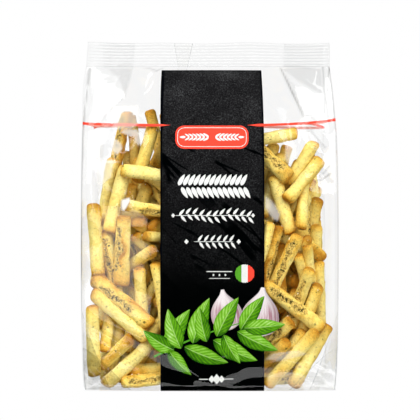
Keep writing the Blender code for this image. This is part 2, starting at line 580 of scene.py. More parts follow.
def on_panel(across, up, lift, relief, side):
    """Points on a panel's film at its depth to one side of the middle plane, moved in by the lift."""
    depth = panel_depth(across, up, relief) - lift
    return joined(splayed(across, up), side * depth, up)


def on_front(across, up, lift=0.0):
    """Points on the front film, moved in by the lift."""
    return on_panel(across, up, lift, front_relief, -1)


def on_back(across, up, lift=0.0):
    """Points on the back film, moved in by the lift."""
    return on_panel(across, up, lift, back_relief, 1)


def on_pleat(along, up, side):
    """Points on a side pleat, from its front crease at -1 over the fold at 0 to its back crease at 1.

    The fold lies in by the tuck, and the slack film bellies between the creases and carries slow waves.
    """
    depth = corner_depth(up)
    # The left pleat has opened further where the sticks push it out.
    folded = (tuck(up) - 7 * MM * (side < 0) * hump(up, 163 * MM, 12 * MM)) * (1 - np.abs(along))
    belly = 4 * np.abs(along) * (1 - np.abs(along))
    loose = ease(150 * MM, 110 * MM, up) * ease(0, 10 * MM, up)
    waves = 0.5 * MM * ripple(along * depth, up, 31 + side, 6, 18 * MM, 60 * MM) * loose
    top = ease(118 * MM, 140 * MM, up) * under_seal(20, up)
    waves = waves + 0.9 * MM * crumple(along * depth, up, 41 + side, 22 * MM) * top
    out = half_width(up) - folded + belly * (1.2 * MM * loose + waves)
    return joined(splayed(side * out, up), along * depth, up)


def film_tube(heights, front_columns, back_columns, pleat_columns):
    """Rings round the bag at those heights: front panel, right pleat, back panel, left pleat."""
    up = heights[:, None]

    def shares(columns):
        even = np.linspace(-1, 1, columns + 1)[:-1]
        # The sine puts more columns by the corner creases.
        return np.sin(0.5 * math.pi * even) * 0.25 + even * 0.75

    # The pleats' columns crowd to the fold, so that it stays sharp.
    along = np.linspace(-1, 1, pleat_columns + 1)[:-1]
    along = along * np.abs(along) ** 0.7
    front = on_front(shares(front_columns) * half_width(up), up)
    right = on_pleat(along, up, 1)
    back = on_back(-shares(back_columns) * half_width(up), up)
    left = on_pleat(-along, up, -1)
    return np.concatenate([front, right, back, left], axis=1)


# How many columns of faces a ring of the film body and of the seal has: front, back, each pleat.
FILM_COLUMNS = (170, 90, 26)
SEAL_COLUMNS = (96, 96, 24)


def column_masks(front, back, pleat):
    """Which columns of a ring lie on the front panel, and which on the pleats."""
    around = np.arange(front + back + 2 * pleat)
    return around < front, ((around >= front) & (around < front + pleat)) | (around >= front + pleat + back)


def oval(x, z, middle_x, middle_z, half_x, half_z):
    """Distance from an oval's middle, 1 on the oval itself; all in millimetres."""
    return np.hypot((x / MM - middle_x) / half_x, (z / MM - middle_z) / half_z)


def slab(x, z, middle_x, half_x, middle_z, half_z, soft_x, soft_z):
    """1 within an upright rectangle, eased down over the soft widths inside its sides; all in millimetres."""
    across, up = np.abs(x / MM - middle_x), np.abs(z / MM - middle_z)
    return ease(half_x, half_x - soft_x, across) * ease(half_z, half_z - soft_z, up)


def make_film(material):
    """The film body: rings from the base's edge to the foot of the seal, and the flat base under them."""
    edge = BASE_EDGE * (1 - np.cos(np.linspace(0, math.pi / 2, 5)))
    low, high = 40 * MM, SEAL_FOOT
    heights = np.concatenate([edge[:-1], np.linspace(BASE_EDGE, low, 84)[:-1], np.linspace(low, high, 160)])
    rings = film_tube(heights, *FILM_COLUMNS)
    rows, columns = rings.shape[:2]
    rings[:, :, 2] = np.maximum(rings[:, :, 2], 0.5 * MM)
    middle = rings[0].mean(axis=0)
    points = np.concatenate([rings.reshape(-1, 3), middle[None]])
    around = np.arange(columns)
    base = joined((around + 1) % columns, around, rows * columns)
    piece = make_piece("film_bag", points, grid_quads(rows, columns, close_columns=True), base, material)
    front, pleats = column_masks(*FILM_COLUMNS)
    x, z = rings[..., 0], rings[..., 2]
    # Painted shade: the film is painted grey along the creases, over the grey patches and at the corner
    # folds.
    painted_shade = np.maximum(crease_shade(x, z), patched(GREY_SHADE_PATCHES, x, z))
    # Painted shade: the corner folds show as thin dark lines painted on the film.
    corner_fold_shade = hump(half_width(z) - np.abs(x), 0, 0.7 * MM) * ease(20 * MM, 60 * MM, z) * np.where(x > 0, 0.9, 0.4)
    painted_shade = np.maximum(painted_shade, corner_fold_shade) * front
    pressed = pleats * ease(140 * MM, 165 * MM, heights)[:, None]
    # A dull hollow in the left shoulder, and dull places along both edges.
    places = [
        ease(1.3, 0.8, oval(x, z, -60.6, 188.4, 3.6, 1.8)) * front,
        ease(-72 * MM, -74 * MM, x) * ease(70 * MM, 55 * MM, z),
        ease(73.0 * MM, 74.5 * MM, x) * ease(155 * MM, 145 * MM, z) * ease(20 * MM, 50 * MM, z),
        slab(x, z, -72.5, 2.2, 173, 11, 0.8, 3),
        slab(x, z, -74, 2.4, 135, 25, 1.0, 5),
    ]
    pressed = np.maximum(pressed, np.max(places, axis=0))
    for name, values in (("painted_shade", painted_shade), ("pressed", pressed), ("painted_glare", patched(PAINTED_GLARE, x, z) * front)):
        add_number(piece, name, np.append(values.ravel(), 0))
    return piece


def ribbed_sway(across, climb):
    """Depth of the seal's middle: a sine for each rib, and slow waves that grow as climb goes from 0 to 1."""
    ribs = 0.16 * MM * np.sin(CIRCLE * RIBS * climb) * ease(0, 0.04, climb)
    return ribs + 0.5 * MM * ripple(across, SEAL_FOOT + climb * SEAL_HEIGHT, 51, 5, 40 * MM, 120 * MM) * climb


def make_seal(material):
    """The heat seal: all the layers of the tube pressed flat together, with the jaws' fine ribs across them.

    Each layer is moved by one sine of the height, so front, pleats and back keep their gaps.
    """
    heights = np.linspace(SEAL_FOOT, BAG_HEIGHT, RIBS * 8 + 1)
    rings = film_tube(np.full(1, SEAL_FOOT), *SEAL_COLUMNS)
    rings = np.repeat(rings, len(heights), axis=0)
    climb = ((heights - SEAL_FOOT) / SEAL_HEIGHT)[:, None]
    rings[..., 1] = rings[..., 1] + ribbed_sway(rings[..., 0], climb)
    uneven = 0.5 * MM * ripple(rings[..., 0], 0 * climb, 53, 5, 30 * MM, 110 * MM) - 0.4 * MM
    rings[..., 2] = heights[:, None] + uneven * climb
    rings[..., 0] = rings[..., 0] + 1.3 * MM * climb * ease(0, -70 * MM, rings[..., 0])
    rows, columns = rings.shape[:2]
    piece = make_piece("film_top_seal", rings, grid_quads(rows, columns, close_columns=True), None, material)
    add_number(piece, "pleat", np.broadcast_to(column_masks(*SEAL_COLUMNS)[1], (rows, columns)))
    return piece


def folded_film(name, points, edge, material):
    """A loose layer of film: a grid of points, and 'edge' from -1 to 1 across it for its cut edges."""
    rows, columns = points.shape[:2]
    piece = make_piece(name, points, grid_quads(rows, columns), None, material)
    add_number(piece, "edge", np.broadcast_to(edge, (rows, columns)))
    return piece


FIN_MIDDLE = -17.0 * MM


def make_back_fin(material):
    """The tube's own seam: a ribbed fin folded flat down the back, narrowest at the seal's foot."""
    t = np.linspace(-1, 1, 13)[None, :]
    up = np.linspace(1.0 * MM, SEAL_FOOT - 0.5 * MM, 220)[:, None]
    half = 6.0 * MM - 3.2 * MM * ease(SEAL_FOOT - 26 * MM, SEAL_FOOT, up)
    across = FIN_MIDDLE + t * half + 0.35 * MM * ripple(0 * up, up, 61, 4, 40 * MM, 90 * MM)
    ribs = 0.05 * MM * np.sin(CIRCLE * up / (1.6 * MM))
    body = on_back(across, up, -0.10 * MM - 0.22 * MM * (1 + t) / 2 - ribs)[:, ::-1]
    climb = np.linspace(0, 1, 60)[:, None]
    half = 2.8 * MM + 3.2 * MM * climb
    across = FIN_MIDDLE + 0.4 * MM * climb + t * half
    depth = 0.95 * MM + ribbed_sway(across, climb)
    up = SEAL_FOOT + climb * (SEAL_HEIGHT - 0.4 * MM)
    top = joined(across, depth, up)[:, ::-1]
    return folded_film("back_fin", body, t, material), folded_film("back_fin_in_seal", top, t, material)


def make_corner_folds(materials):
    """Loose layers of the pleats folded in at the foot: slanting flaps inside each lower front corner."""
    pieces = []
    for name, side in (("left", -1), ("right", 1)):
        for layer, (wide, tall) in enumerate(((27, 25), (15, 46))):
            t, climb = np.linspace(-1, 1, 17)[None, :], np.linspace(0, 1, 41)[:, None]
            up = (1.2 + tall * climb) * MM
            reach = wide * MM * (1 - climb) ** (0.8 + 0.3 * layer) + 0.3 * MM
            across = side * (half_width(up) - 0.5 * MM - reach * (1 - t) / 2)
            crimp = 0.16 * MM * np.sin((across + 0.9 * up) / (0.75 * MM)) * ease(24 * MM, 3 * MM, up)
            points = on_front(across, up, (0.32 + 0.2 * layer) * MM + crimp)
            points = points if side > 0 else points[:, ::-1]
            edge = t if side > 0 else t[:, ::-1]
            pieces.append(folded_film(f"corner_fold_{name}_{layer + 1}", points, edge, materials[name]))
    return pieces


def make_base_seal(material):
    """The bottom seal, folded flat under the base: a ribbed double strip with wavy cut edges."""
    t, along = np.linspace(-1, 1, 49)[:, None], np.linspace(-1, 1, 121)[None, :]
    across = along * (HALF_PANEL - 6 * MM)
    depth = 5.0 * MM + t * 7.0 * MM + 0.4 * MM * ripple(across, 0 * t, 71, 4, 30 * MM, 80 * MM)
    up = 0.28 * MM + 0.10 * MM * np.sin(CIRCLE * t * 5)
    return folded_film("base_seal", joined(across, depth, up)[:, ::-1], t, material)


# ---------------------------------------------------------------------------------------------------------
# Where the breadsticks lie.
# The ones that show in the two windows: kind, where the upper end is (across and up), lean
# from upright, length, thickness, how many sticks deep it lies, and how far it dips back into the bag from
# its upper end. Millimetres and degrees.
SHOWN_LEFT = (
    ("split", -55, 169, 7, 42, 8.0, 2.0, 4),
    ("plain", -51, 168, -7, 41, 7.5, 3.0, 3),
    ("plain", -38, 170, -12, 40, 6.8, 2.0, 5),
    ("plain", -34, 158, 17, 36, 7.8, 1.0, 8),
    ("plain", -29, 170, -7, 42, 6.4, 3.0, 0),
    ("plain", -19, 164, 28, 38, 7.8, 1.0, 20),
    ("plain", -53, 145, 0, 40, 5.8, 3.0, 0),
    ("plain", -48, 157, -2, 40, 6.3, 3.0, 0),
    ("plain", -53, 131, -81, 41, 7.7, 0.0, 3),
    ("plain", -51, 134, 13, 42, 8.3, 0.5, -6),
    ("plain", -59, 139, 12, 40, 7.4, 2.0, 8),
    ("plain", -48, 124, 13, 38, 6.0, 3.0, 5),
    ("plain", -38, 123, 21, 42, 7.9, 1.3, 14),
    ("plain", -10, 137, 47, 40, 6.8, 2.0, 20),
    ("split", -50, 110, -80, 42, 7.2, 0.0, 6),
    ("plain", -44, 101, -34, 40, 8.5, 1.6, 60),
    ("split", -34, 98, -47, 42, 8.3, 0.5, 55),
    ("plain", -39, 92, -82, 40, 6.2, 1.0, 40),
    ("split", -46, 93, -39, 40, 7.2, 1.0, 25),
    ("plain", -70, 111, -5, 44, 8.9, 0.0, 0),
    ("split", -63, 95, -10, 41, 7.2, 1.0, 8),
    ("split", -51, 104, 2, 42, 8.9, 0.0, 2),
    ("plain", -68, 97, 7, 40, 7.2, 1.0, -10),
    ("plain", -32, 84, 55, 40, 7.2, 0.0, 35),
    ("plain", -42, 73, -3, 42, 7.8, 1.0, 12),
    ("plain", -32, 76, -8, 41, 7.8, 0.4, 6),
    ("split", -69, 68, -49, 45, 8.9, 0.3, 0),
    ("plain", -70, 59, -49, 44, 8.3, 0.0, 0),
    ("plain", -70, 51, -2, 43, 7.7, 0.0, 0),
    ("plain", -59, 63, 6, 42, 7.3, 1.3, -6),
    ("plain", -47, 61, 14, 40, 6.2, 2.3, -10),
    ("plain", -47, 31, 46, 30, 7.8, 0.4, 30),
    ("plain", -35, 29, 44, 39, 8.3, 0.0, 8),
    ("plain", -28, 31, 24, 40, 7.2, 1.0, -60),
    ("plain", -47, 10, -88, 40, 7.8, 1.0, 35),
    ("split", -53, 4.3, -96, 42, 7.4, 0.0, 5),
    ("plain", -61, 38, 6, 38, 7.4, 2.0, 0),
    ("plain", -52, 13, -70, 36, 7.4, 1.8, 0),
    ("plain", -26, 98, 8, 40, 7.2, 3.0, 0),
    ("plain", -36, 138, 20, 38, 7.0, 3.0, 0),
    ("plain", -19, 74, 30, 42, 6.8, 2.0, -15),
    ("plain", -14, 64, 34, 41, 6.6, 1.0, -8),
    ("plain", -50, 80, 6, 40, 7.2, 4.0, 0),
)
SHOWN_RIGHT = (
    ("plain", 11, 146, -100, 42, 7.1, 0.0, -4),
    ("plain", 40, 148, 14, 41, 7.8, 1.0, 12),
    ("plain", 49, 148, 14, 41, 7.4, 2.0, 10),
    ("plain", 62, 147, 29, 30, 7.7, 0.2, 25),
    ("split", 17, 155, -46, 44, 8.9, 0.0, -8),
    ("plain", 34, 138, 0, 38, 5.8, 2.0, 0),
    ("plain", 65, 136, 40, 33, 7.7, 0.0, 30),
    ("plain", 64, 138, 27, 38, 6.7, 1.3, 12),
    ("plain", 39, 128, -16, 37, 8.3, 0.0, 14),
    ("plain", 58, 133, 6, 39, 7.2, 1.0, -10),
    ("split", 58, 122, -4, 38, 6.8, 2.0, 0),
    ("plain", 67, 116, 12, 41, 7.4, 2.0, 5),
    ("plain", 67, 91, 3, 40, 6.9, 3.0, 3),
    ("plain", 58, 89, 36, 38, 6.0, 1.0, 50),
    ("split", 53, 93, 25, 41, 7.7, 0.0, 8),
    ("split", 41, 98, 16, 42, 7.1, 0.3, 6),
    ("plain", 36, 100, 17, 40, 6.6, 1.0, 8),
    ("plain", 57, 88, -9, 41, 6.2, 1.0, 10),
    ("plain", 51, 83, -16, 38, 6.2, 2.0, 10),
    ("plain", 65, 76, -9, 44, 7.2, 1.0, 0),
    ("split", 60, 73, 16, 40, 7.1, 0.2, 10),
    ("plain", 65, 63, 16, 40, 7.8, 0.8, 12),
    ("plain", 53, 63, 68, 40, 7.9, 1.3, 62),
    ("split", 31, 64, -52, 46, 8.3, 0.0, 0),
    ("plain", 44, 47, 43, 38, 7.4, 2.0, 55),
    ("split", 48, 41, 44, 40, 7.8, 1.0, 30),
    ("plain", 55, 34, 29, 42, 7.2, 1.0, 10),
    ("plain", 45, 30, 32, 41, 8.3, 0.3, 14),
    ("plain", 62, 35, 36, 45, 8.3, 0.0, 0),
    ("plain", 72, 36, 30, 43, 8.9, 0.0, 3),
    ("plain", 67, 65, -8, 41, 6.8, 2.0, -5),
    ("split", 21, 5, -92, 36, 7.6, 1.0, 0),
)
LAYER_PITCH = 7.4 * MM
HIDDEN_STICKS = 200
SPLIT_SHARE = 0.38
FILM_GAP = 1.0 * MM
STICK_GAP = 0.1 * MM
SETTLING_STEPS = 260
PUSH_SHARE = 0.4
LONGEST_MOVE = 1.5 * MM


def leaning(lean, dip):
    """Unit vectors that lean off upright in the panel's plane and dip back into the bag."""
    return joined(np.sin(lean) * np.cos(dip), np.sin(dip), np.cos(lean) * np.cos(dip))


def place_shown():
    """Ends, radii and kinds of the shown sticks, from the two tables."""
    table = SHOWN_LEFT + SHOWN_RIGHT
    split = np.array([row[0] == "split" for row in table])
    across, up, lean, length, thick, layer, dip = np.array([row[1:] for row in table], dtype=float).T
    lean, dip, radius = np.radians(lean), np.radians(dip), thick * MM / 2
    top = joined(across * MM, 0.0, up * MM)
    run = leaning(lean, dip) * [-1, 1, -1] * (length * MM - 2 * radius)[:, None]
    # The round ends reach past the axis, so the axis starts one radius inside the tip.
    top = top + unit(run) * radius[:, None]
    depth = panel_depth(top[:, 0], np.minimum(top[:, 2], 160 * MM), lambda a, u: 0 * a)
    top[:, 1] = -depth + radius + FILM_GAP + layer * LAYER_PITCH + np.maximum(0, -run[:, 1])
    return top, top + run, radius, split


def place_hidden(rng, count):
    """Seeded sticks all through the bag, mostly leaning from upright, to be pressed apart.

    The first ones stand in three rows along the back panel, so that light hardly shows through the heap.
    """
    radius = rng.uniform(3.3, 4.3, count) * MM
    length = rng.uniform(36, 46, count) * MM - 2 * radius
    lean = rng.normal(0, math.radians(40), count)
    dip = rng.normal(0, math.radians(22), count)
    spans = ((-62, 62), (-16, 16), (14, 128))
    middle = joined(*(rng.uniform(low, high, count) for low, high in spans))
    rows, steps = np.meshgrid(np.arange(3), np.linspace(-66, 66, 17), indexing="ij")
    backs = rows.size
    middle[:backs] = joined(steps.ravel(), 21.0, 23.0 + 38.0 * rows.ravel())
    middle[:backs] += rng.normal(0, 2, (backs, 3))
    lean[:backs] *= 0.5
    dip[:backs] *= 0.3
    run = leaning(lean, dip) * length[:, None]
    return middle * MM - run / 2, middle * MM + run / 2, radius, rng.uniform(size=count) < SPLIT_SHARE


def nearest_on_lines(a0, a1, b0, b1):
    """For pairs of segments, how far along each the nearest points lie, both from 0 to 1."""
    first, second, gap = a1 - a0, b1 - b0, a0 - b0
    a, e, b = (first**2).sum(-1), (second**2).sum(-1), (first * second).sum(-1)
    c, f = (first * gap).sum(-1), (second * gap).sum(-1)
    spread = np.maximum(a * e - b * b, 1e-16)
    s = np.clip((b * f - c * e) / spread, 0, 1)
    t = np.clip((b * s + f) / e, 0, 1)
    return np.clip((b * t - c) / a, 0, 1), t


def keep_inside(ends, radius, hidden):
    """End points moved back inside the film; hidden sticks keep behind the others and off the low corners."""
    x, y, z = ends[..., 0], ends[..., 1], ends[..., 2]
    z = np.maximum(z, radius + 1.6 * MM)
    level = np.clip(z + radius, 0, SEAL_FOOT)
    folded_in = tuck(level) * np.clip(1 - np.abs(y) / corner_depth(level), 0, 1)
    reach = half_width(level) - folded_in - radius - FILM_GAP
    low_corner = np.where(x > 0, 14 * MM * ease(32 * MM, 24 * MM, z), 8 * MM * ease(17 * MM, 12 * MM, z))
    reach = reach - np.where(hidden, 0.8 * MM + low_corner, 0)
    x = np.clip(x, -reach, reach)
    lower = np.clip(z - radius, 0, SEAL_FOOT)
    depth = np.minimum(corner_depth(level), corner_depth(lower))
    room = depth + crown(level) * (1 - (x / half_width(level)) ** 2) - radius - FILM_GAP
    shown_zone = np.abs(x - STRIP_MIDDLE) > STRIP_HALF - 6 * MM
    front = np.where(shown_zone & hidden, -9 * MM, np.where(hidden, 1.5 * MM, 0) - room)
    y = np.clip(y, np.minimum(front, room), room - np.where(hidden, 1.3 * MM, 0))
    return joined(x, y, z)


def settle(start, end, radius, shown):
    """Presses overlapping sticks apart, a little at a time, and lets the hidden ones sink between steps.

    Where two sticks overlap, both are pushed along the line between their nearest points. A shown stick
    gives way in depth but hardly across or up, and is drawn back to its place in the window.
    """
    count = len(radius)
    first, second = np.triu_indices(count, 1)
    give = np.where(shown[:, None], [0.12, 1.0, 0.12], [1.0, 1.0, 1.0])
    drawn_back = [0.15, 0.002, 0.15]
    home_start, home_end, length = start.copy(), end.copy(), np.linalg.norm(end - start, axis=-1)
    for step in range(SETTLING_STEPS):
        sink = 0.12 * MM * (step < 0.6 * SETTLING_STEPS)
        start[~shown, 2] -= sink
        end[~shown, 2] -= sink
        s, t = nearest_on_lines(start[first], end[first], start[second], end[second])
        near_first = start[first] + (end[first] - start[first]) * s[:, None]
        near_second = start[second] + (end[second] - start[second]) * t[:, None]
        between = near_first - near_second
        gap = np.linalg.norm(between, axis=-1)
        short = radius[first] + radius[second] + STICK_GAP - gap
        hit = short > 0
        push = PUSH_SHARE * (between[hit] / np.maximum(gap[hit], 1e-7)[:, None]) * short[hit][:, None]
        move_start, move_end = np.zeros_like(start), np.zeros_like(end)
        for who, share, sign in ((first[hit], s[hit], 1.0), (second[hit], t[hit], -1.0)):
            weight = (1 - share) ** 2 + share**2
            np.add.at(move_start, who, sign * push * ((1 - share) / weight)[:, None])
            np.add.at(move_end, who, sign * push * (share / weight)[:, None])
        start += np.clip(move_start, -LONGEST_MOVE, LONGEST_MOVE) * give
        end += np.clip(move_end, -LONGEST_MOVE, LONGEST_MOVE) * give
        start[shown] += (home_start[shown] - start[shown]) * drawn_back
        end[shown] += (home_end[shown] - end[shown]) * drawn_back
        start, end = (keep_inside(ends, radius, ~shown) for ends in (start, end))
        middle, run = (start + end) / 2, unit(end - start)
        start, end = middle - run * length[:, None] / 2, middle + run * length[:, None] / 2
    return start, end


def lay_breadsticks():
    """Start, end, radius, kind and whether it was listed, for every breadstick."""
    rng = np.random.default_rng(417)
    shown_parts = place_shown()
    hidden_parts = place_hidden(rng, HIDDEN_STICKS)
    start, end, radius, split = (np.concatenate(pair) for pair in zip(shown_parts, hidden_parts))
    shown = np.arange(len(radius)) < len(shown_parts[2])
    start, end = settle(start, end, radius, shown)
    return start, end, radius, split, shown


# ---------------------------------------------------------------------------------------------------------
# The breadsticks' shape.
# The share of a stick's length, as its surface is counted, that each round end takes.
CAP_SHARE = 0.16


def turned_off(turn, middle):
    """The angle between two directions, from -pi to pi."""
    return np.angle(np.exp(1j * (turn - middle)))


class Sticks:
    """A set of breadsticks as arrays with one entry each, and the formula of their surface."""

    def __init__(self, start, end, radius, split, shown, seed):
        rng = np.random.default_rng(seed)
        count = len(radius)
        self.start, self.end, self.radius, self.split = start, end, radius, split
        self.length = np.linalg.norm(end - start, axis=-1) + 2 * radius
        self.run = unit(end - start)
        # The side vector faces the front panel where it can.
        facing = np.array([0.0, -1.0, 0.0]) - self.run * -self.run[:, 1:2]
        upright = np.array([0.0, 0.0, 1.0]) - self.run * self.run[:, 2:3]
        self.side = unit(np.where(np.linalg.norm(facing, axis=-1, keepdims=True) > 0.25, facing, upright))
        self.cross = np.cross(self.run, self.side)
        self.bend = rng.normal(0, 0.011, (count, 2)) * self.length[:, None]
        self.flat = rng.uniform(0.02, 0.09, count)
        self.flat_turn = rng.uniform(0, CIRCLE, count)
        self.lump = rng.uniform(0, CIRCLE, (count, 6))
        self.lump_size = rng.uniform(0.6, 1.3, count)
        self.blunt = rng.uniform(2.3, 3.6, (count, 2))
        self.cap = rng.uniform(0.62, 0.95, (count, 2))
        self.slant = rng.normal(0, 0.16, (count, 2, 2))
        # Splits in the windows mostly face the front.
        self.split_turn = np.where(shown, rng.normal(0, 0.45, count), rng.uniform(0, CIRCLE, count))
        self.split_wander = rng.uniform(0, CIRCLE, (count, 3))
        self.split_wide = rng.uniform(0.34, 0.56, count)
        self.split_deep = rng.uniform(0.15, 0.26, count)
        self.split_ends = joined(rng.uniform(0.03, 0.22, count), rng.uniform(0.72, 0.97, count))
        self.tan_turn = rng.uniform(0, CIRCLE, count)
        self.tan = rng.uniform(0.0, 1.0, count)
        # The sticks that stand highest in the left window are given a darker tone.
        middle = (start + end) / 2 / MM
        darker = shown & (np.abs(middle[:, 0] + 42) < 18) & (middle[:, 2] > 131)
        self.tone = rng.uniform(0, 1, count) + 1.6 * darker

    def pick(self, chosen):
        """The chosen sticks alone."""
        part = object.__new__(Sticks)
        part.__dict__ = {name: value[chosen] for name, value in self.__dict__.items()}
        return part

    def surface(self, along, around):
        """Points and shades at 'along' from 0 to 1 and 'around' from 0 to 2 pi, a first index for each stick.

        Ends are superellipse caps: radius sin(q)^(2/n) and advance 1 - cos(q)^(2/n) for q from the tip to the
        cap's foot. Between them the radius carries slow lumps and a flattened side, the axis bends as a
        parabola, and a split is a groove with raised lips that wanders along one side.
        """
        shape = (len(self.radius),) + (1,) * (along.ndim - 1)

        def each(values):
            return values.reshape(shape)

        def by_end(values):
            """The first column's value over the near half of the stick, the second's over the far half."""
            return np.where(near, each(values[:, 0]), each(values[:, 1]))

        near = along < 0.5
        radius, length = each(self.radius), each(self.length)
        cap, blunt = by_end(self.cap) * radius, by_end(self.blunt)
        from_end = np.where(near, along, 1 - along)
        quarter = np.clip(from_end / CAP_SHARE, 0, 1) * math.pi / 2
        swell = np.sin(quarter) ** (2 / blunt)
        in_cap = cap * (1 - np.clip(np.cos(quarter), 0, 1) ** (2 / blunt))
        past = np.clip(from_end - CAP_SHARE, 0, None) / (0.5 - CAP_SHARE)
        reach = in_cap + past * (length / 2 - cap)
        # The ends are cut a little aslant.
        cut = by_end(self.slant[:, :, 0]) * np.cos(around) + by_end(self.slant[:, :, 1]) * np.sin(around)
        reach = reach + radius * cut * swell * (1 - ease(0.0, 1.0, past * 3))
        travelled = np.where(near, reach, length - reach)
        share = travelled / length

        lump = [each(self.lump[:, i]) for i in range(6)]
        lumps = 0.030 * np.sin(13 * share + lump[0] + np.cos(around + lump[1]))
        lumps = lumps + 0.020 * np.sin(27 * share + 2 * around + lump[2])
        lumps = lumps + 0.012 * np.sin(45 * share + lump[3] - 3 * around)
        lumps = lumps + 0.030 * np.cos(3 * around + lump[4]) + 0.035 * np.sin(5 * share + lump[5])
        flat = each(self.flat) * np.cos(2 * (around - each(self.flat_turn)))
        size = 1 + lumps * each(self.lump_size) + flat

        wander = each(self.split_turn) + 0.20 * np.sin(7 * share + each(self.split_wander[:, 0]))
        wander = wander + 0.07 * np.sin(31 * share + each(self.split_wander[:, 1]))
        wide = each(self.split_wide) * (1 + 0.35 * np.sin(19 * share + each(self.split_wander[:, 2])))
        away = turned_off(around, wander) / wide
        first, last = each(self.split_ends[:, 0]), each(self.split_ends[:, 1])
        open_ends = ease(first, first + 0.10, share) * ease(last, last - 0.10, share)
        torn = np.sin(53 * share + 3 * away) * np.sin(17 * share + each(self.split_wander[:, 1]))
        finer = np.sin(91 * share - 5 * away + lump[3]) * np.sin(37 * share + 4 * away + lump[0])
        ragged = np.clip(0.70 + 0.55 * (0.6 * torn + 0.5 * finer), 0.1, 1.3)
        opened = open_ends * each(self.split.astype(float))
        groove = np.exp(-(away**2)) * opened * ragged
        lips = np.exp(-((np.abs(away) - 1.75) ** 2) / 0.5) * opened
        size = size + 0.06 * lips - each(self.split_deep) * groove

        out = radius * size * swell
        bow = 4 * share * (1 - share)
        moves = (
            (self.run, travelled - radius),
            (self.side, out * np.cos(around) + bow * each(self.bend[:, 0])),
            (self.cross, out * np.sin(around) + bow * each(self.bend[:, 1])),
        )
        points = self.start.reshape(shape + (3,))
        for direction, distance in moves:
            points = points + direction.reshape(shape + (3,)) * distance[..., None]

        # Baked brown at the tips, on the side that lay on the tray, on the lumps and on a split's lips.
        from_tip = np.minimum(travelled, length - travelled) / radius
        ends = np.exp(-from_tip / 0.85) * (0.75 + 0.5 * each(self.tan))
        tray = hump(turned_off(around, each(self.tan_turn)), 0, 0.95) * (0.25 + 0.6 * each(self.tan))
        tray = tray * (0.75 + 0.25 * np.sin(9 * share + lump[0]))
        high = 1.6 * np.clip(lumps, 0, 1) * each(self.lump_size) + 0.25 * lips
        baked = np.clip(ends + tray * (1 - ends) + high, 0, 1)
        return points, {"baked": baked, "opened": groove + 0 * baked, "tone": each(self.tone) + 0 * baked}


def make_sticks(name, sticks, rows, columns, material):
    """One joined mesh of many breadsticks: rings between two pole points on each.

    Columns crowd towards a stick's split, by a cubic of the share of the way round.
    """
    cap_rows = 5
    caps = CAP_SHARE * (np.arange(1, cap_rows + 1) / cap_rows)
    body = np.linspace(CAP_SHARE, 1 - CAP_SHARE, rows - 2 * cap_rows + 2)[1:-1]
    along = np.concatenate([caps, body, 1 - caps[::-1]])
    even = np.linspace(-1, 1, columns, endpoint=False)
    crowded = math.pi * np.where(sticks.split[:, None], 0.42 * even + 0.58 * even**3, even)
    around = (crowded + np.where(sticks.split, sticks.split_turn, 0)[:, None])[:, None, :]
    along_all = along[None, :, None]
    rings, shades = sticks.surface(along_all + 0 * around, around + 0 * along_all)
    poles = np.array([0.0, 1.0])[None, :, None]
    tips, tip_shades = sticks.surface(poles, 0 * poles)

    count = len(sticks.radius)
    size = len(along) * columns
    points = np.concatenate([rings.reshape(count, size, 3), tips.reshape(count, 2, 3)], axis=1)
    ring = np.arange(columns)
    after = (ring + 1) % columns
    last = size - columns
    start_cap, end_cap = joined(size, after, ring), joined(size + 1, last + ring, last + after)
    shift = (np.arange(count) * (size + 2))[:, None, None]
    quads = grid_quads(len(along), columns, close_columns=True)[None] + shift
    fans = np.concatenate([start_cap, end_cap])[None] + shift
    piece = make_piece(name, points, quads, fans, material)
    for key, on_rings in shades.items():
        on_rings = np.broadcast_to(on_rings, (count, len(along), columns)).reshape(count, size)
        on_tips = np.broadcast_to(tip_shades[key], (count, 2, 1)).reshape(count, 2)
        add_number(piece, key, np.concatenate([on_rings, on_tips], axis=1))
    return piece


# ---------------------------------------------------------------------------------------------------------
# Herb flakes and crumbs, scattered over the breadsticks' own surfaces.
def lens_shape(sides):
    """A flat bipyramid: a ring of points round two poles, and its triangles."""
    turn = np.linspace(0, CIRCLE, sides, endpoint=False)
    ring = joined(np.cos(turn), np.sin(turn), 0.0)
    points = np.concatenate([ring, [[0, 0, 1], [0, 0, -1]]])
    here = np.arange(sides)
    after = (here + 1) % sides
    return points, np.concatenate([joined(here, after, sides), joined(after, here, sides + 1)])


def scatter(name, middle, first, second, outward, sizes, sides, rng, material):
    """One joined mesh of small grains: a lens carried to each place in its own axes, its points jittered."""
    shape, triangles = lens_shape(sides)
    count = len(middle)
    local = shape[None] * (1 + rng.normal(0, 0.22, (count, len(shape), 1))) * sizes[:, None, :]
    axes = np.stack([first, second, outward], axis=1)
    points = middle[:, None, :] + np.einsum("nkj,njc->nkc", local, axes)
    faces = triangles[None] + (np.arange(count) * len(shape))[:, None, None]
    piece = make_piece(name, points, np.zeros((0, 4)), faces, material)
    add_number(piece, "tone", np.repeat(rng.uniform(0, 1, count), len(shape)))
    return piece


def surface_places(sticks, which, along, around):
    """Points on chosen sticks, two tangents and the outward direction, from small steps along the surface."""
    step = 0.01
    chosen = sticks.pick(which)
    along = np.clip(along, 0.02, 0.98)

    def at(along_now, around_now):
        return chosen.surface(along_now[:, None], around_now[:, None])[0][:, 0]

    middle = at(along, around)
    first = unit(at(np.minimum(along + step, 0.99), around) - middle)
    outward = unit(np.cross(at(along, around + step * 5) - middle, first))
    return middle, first, np.cross(outward, first), outward


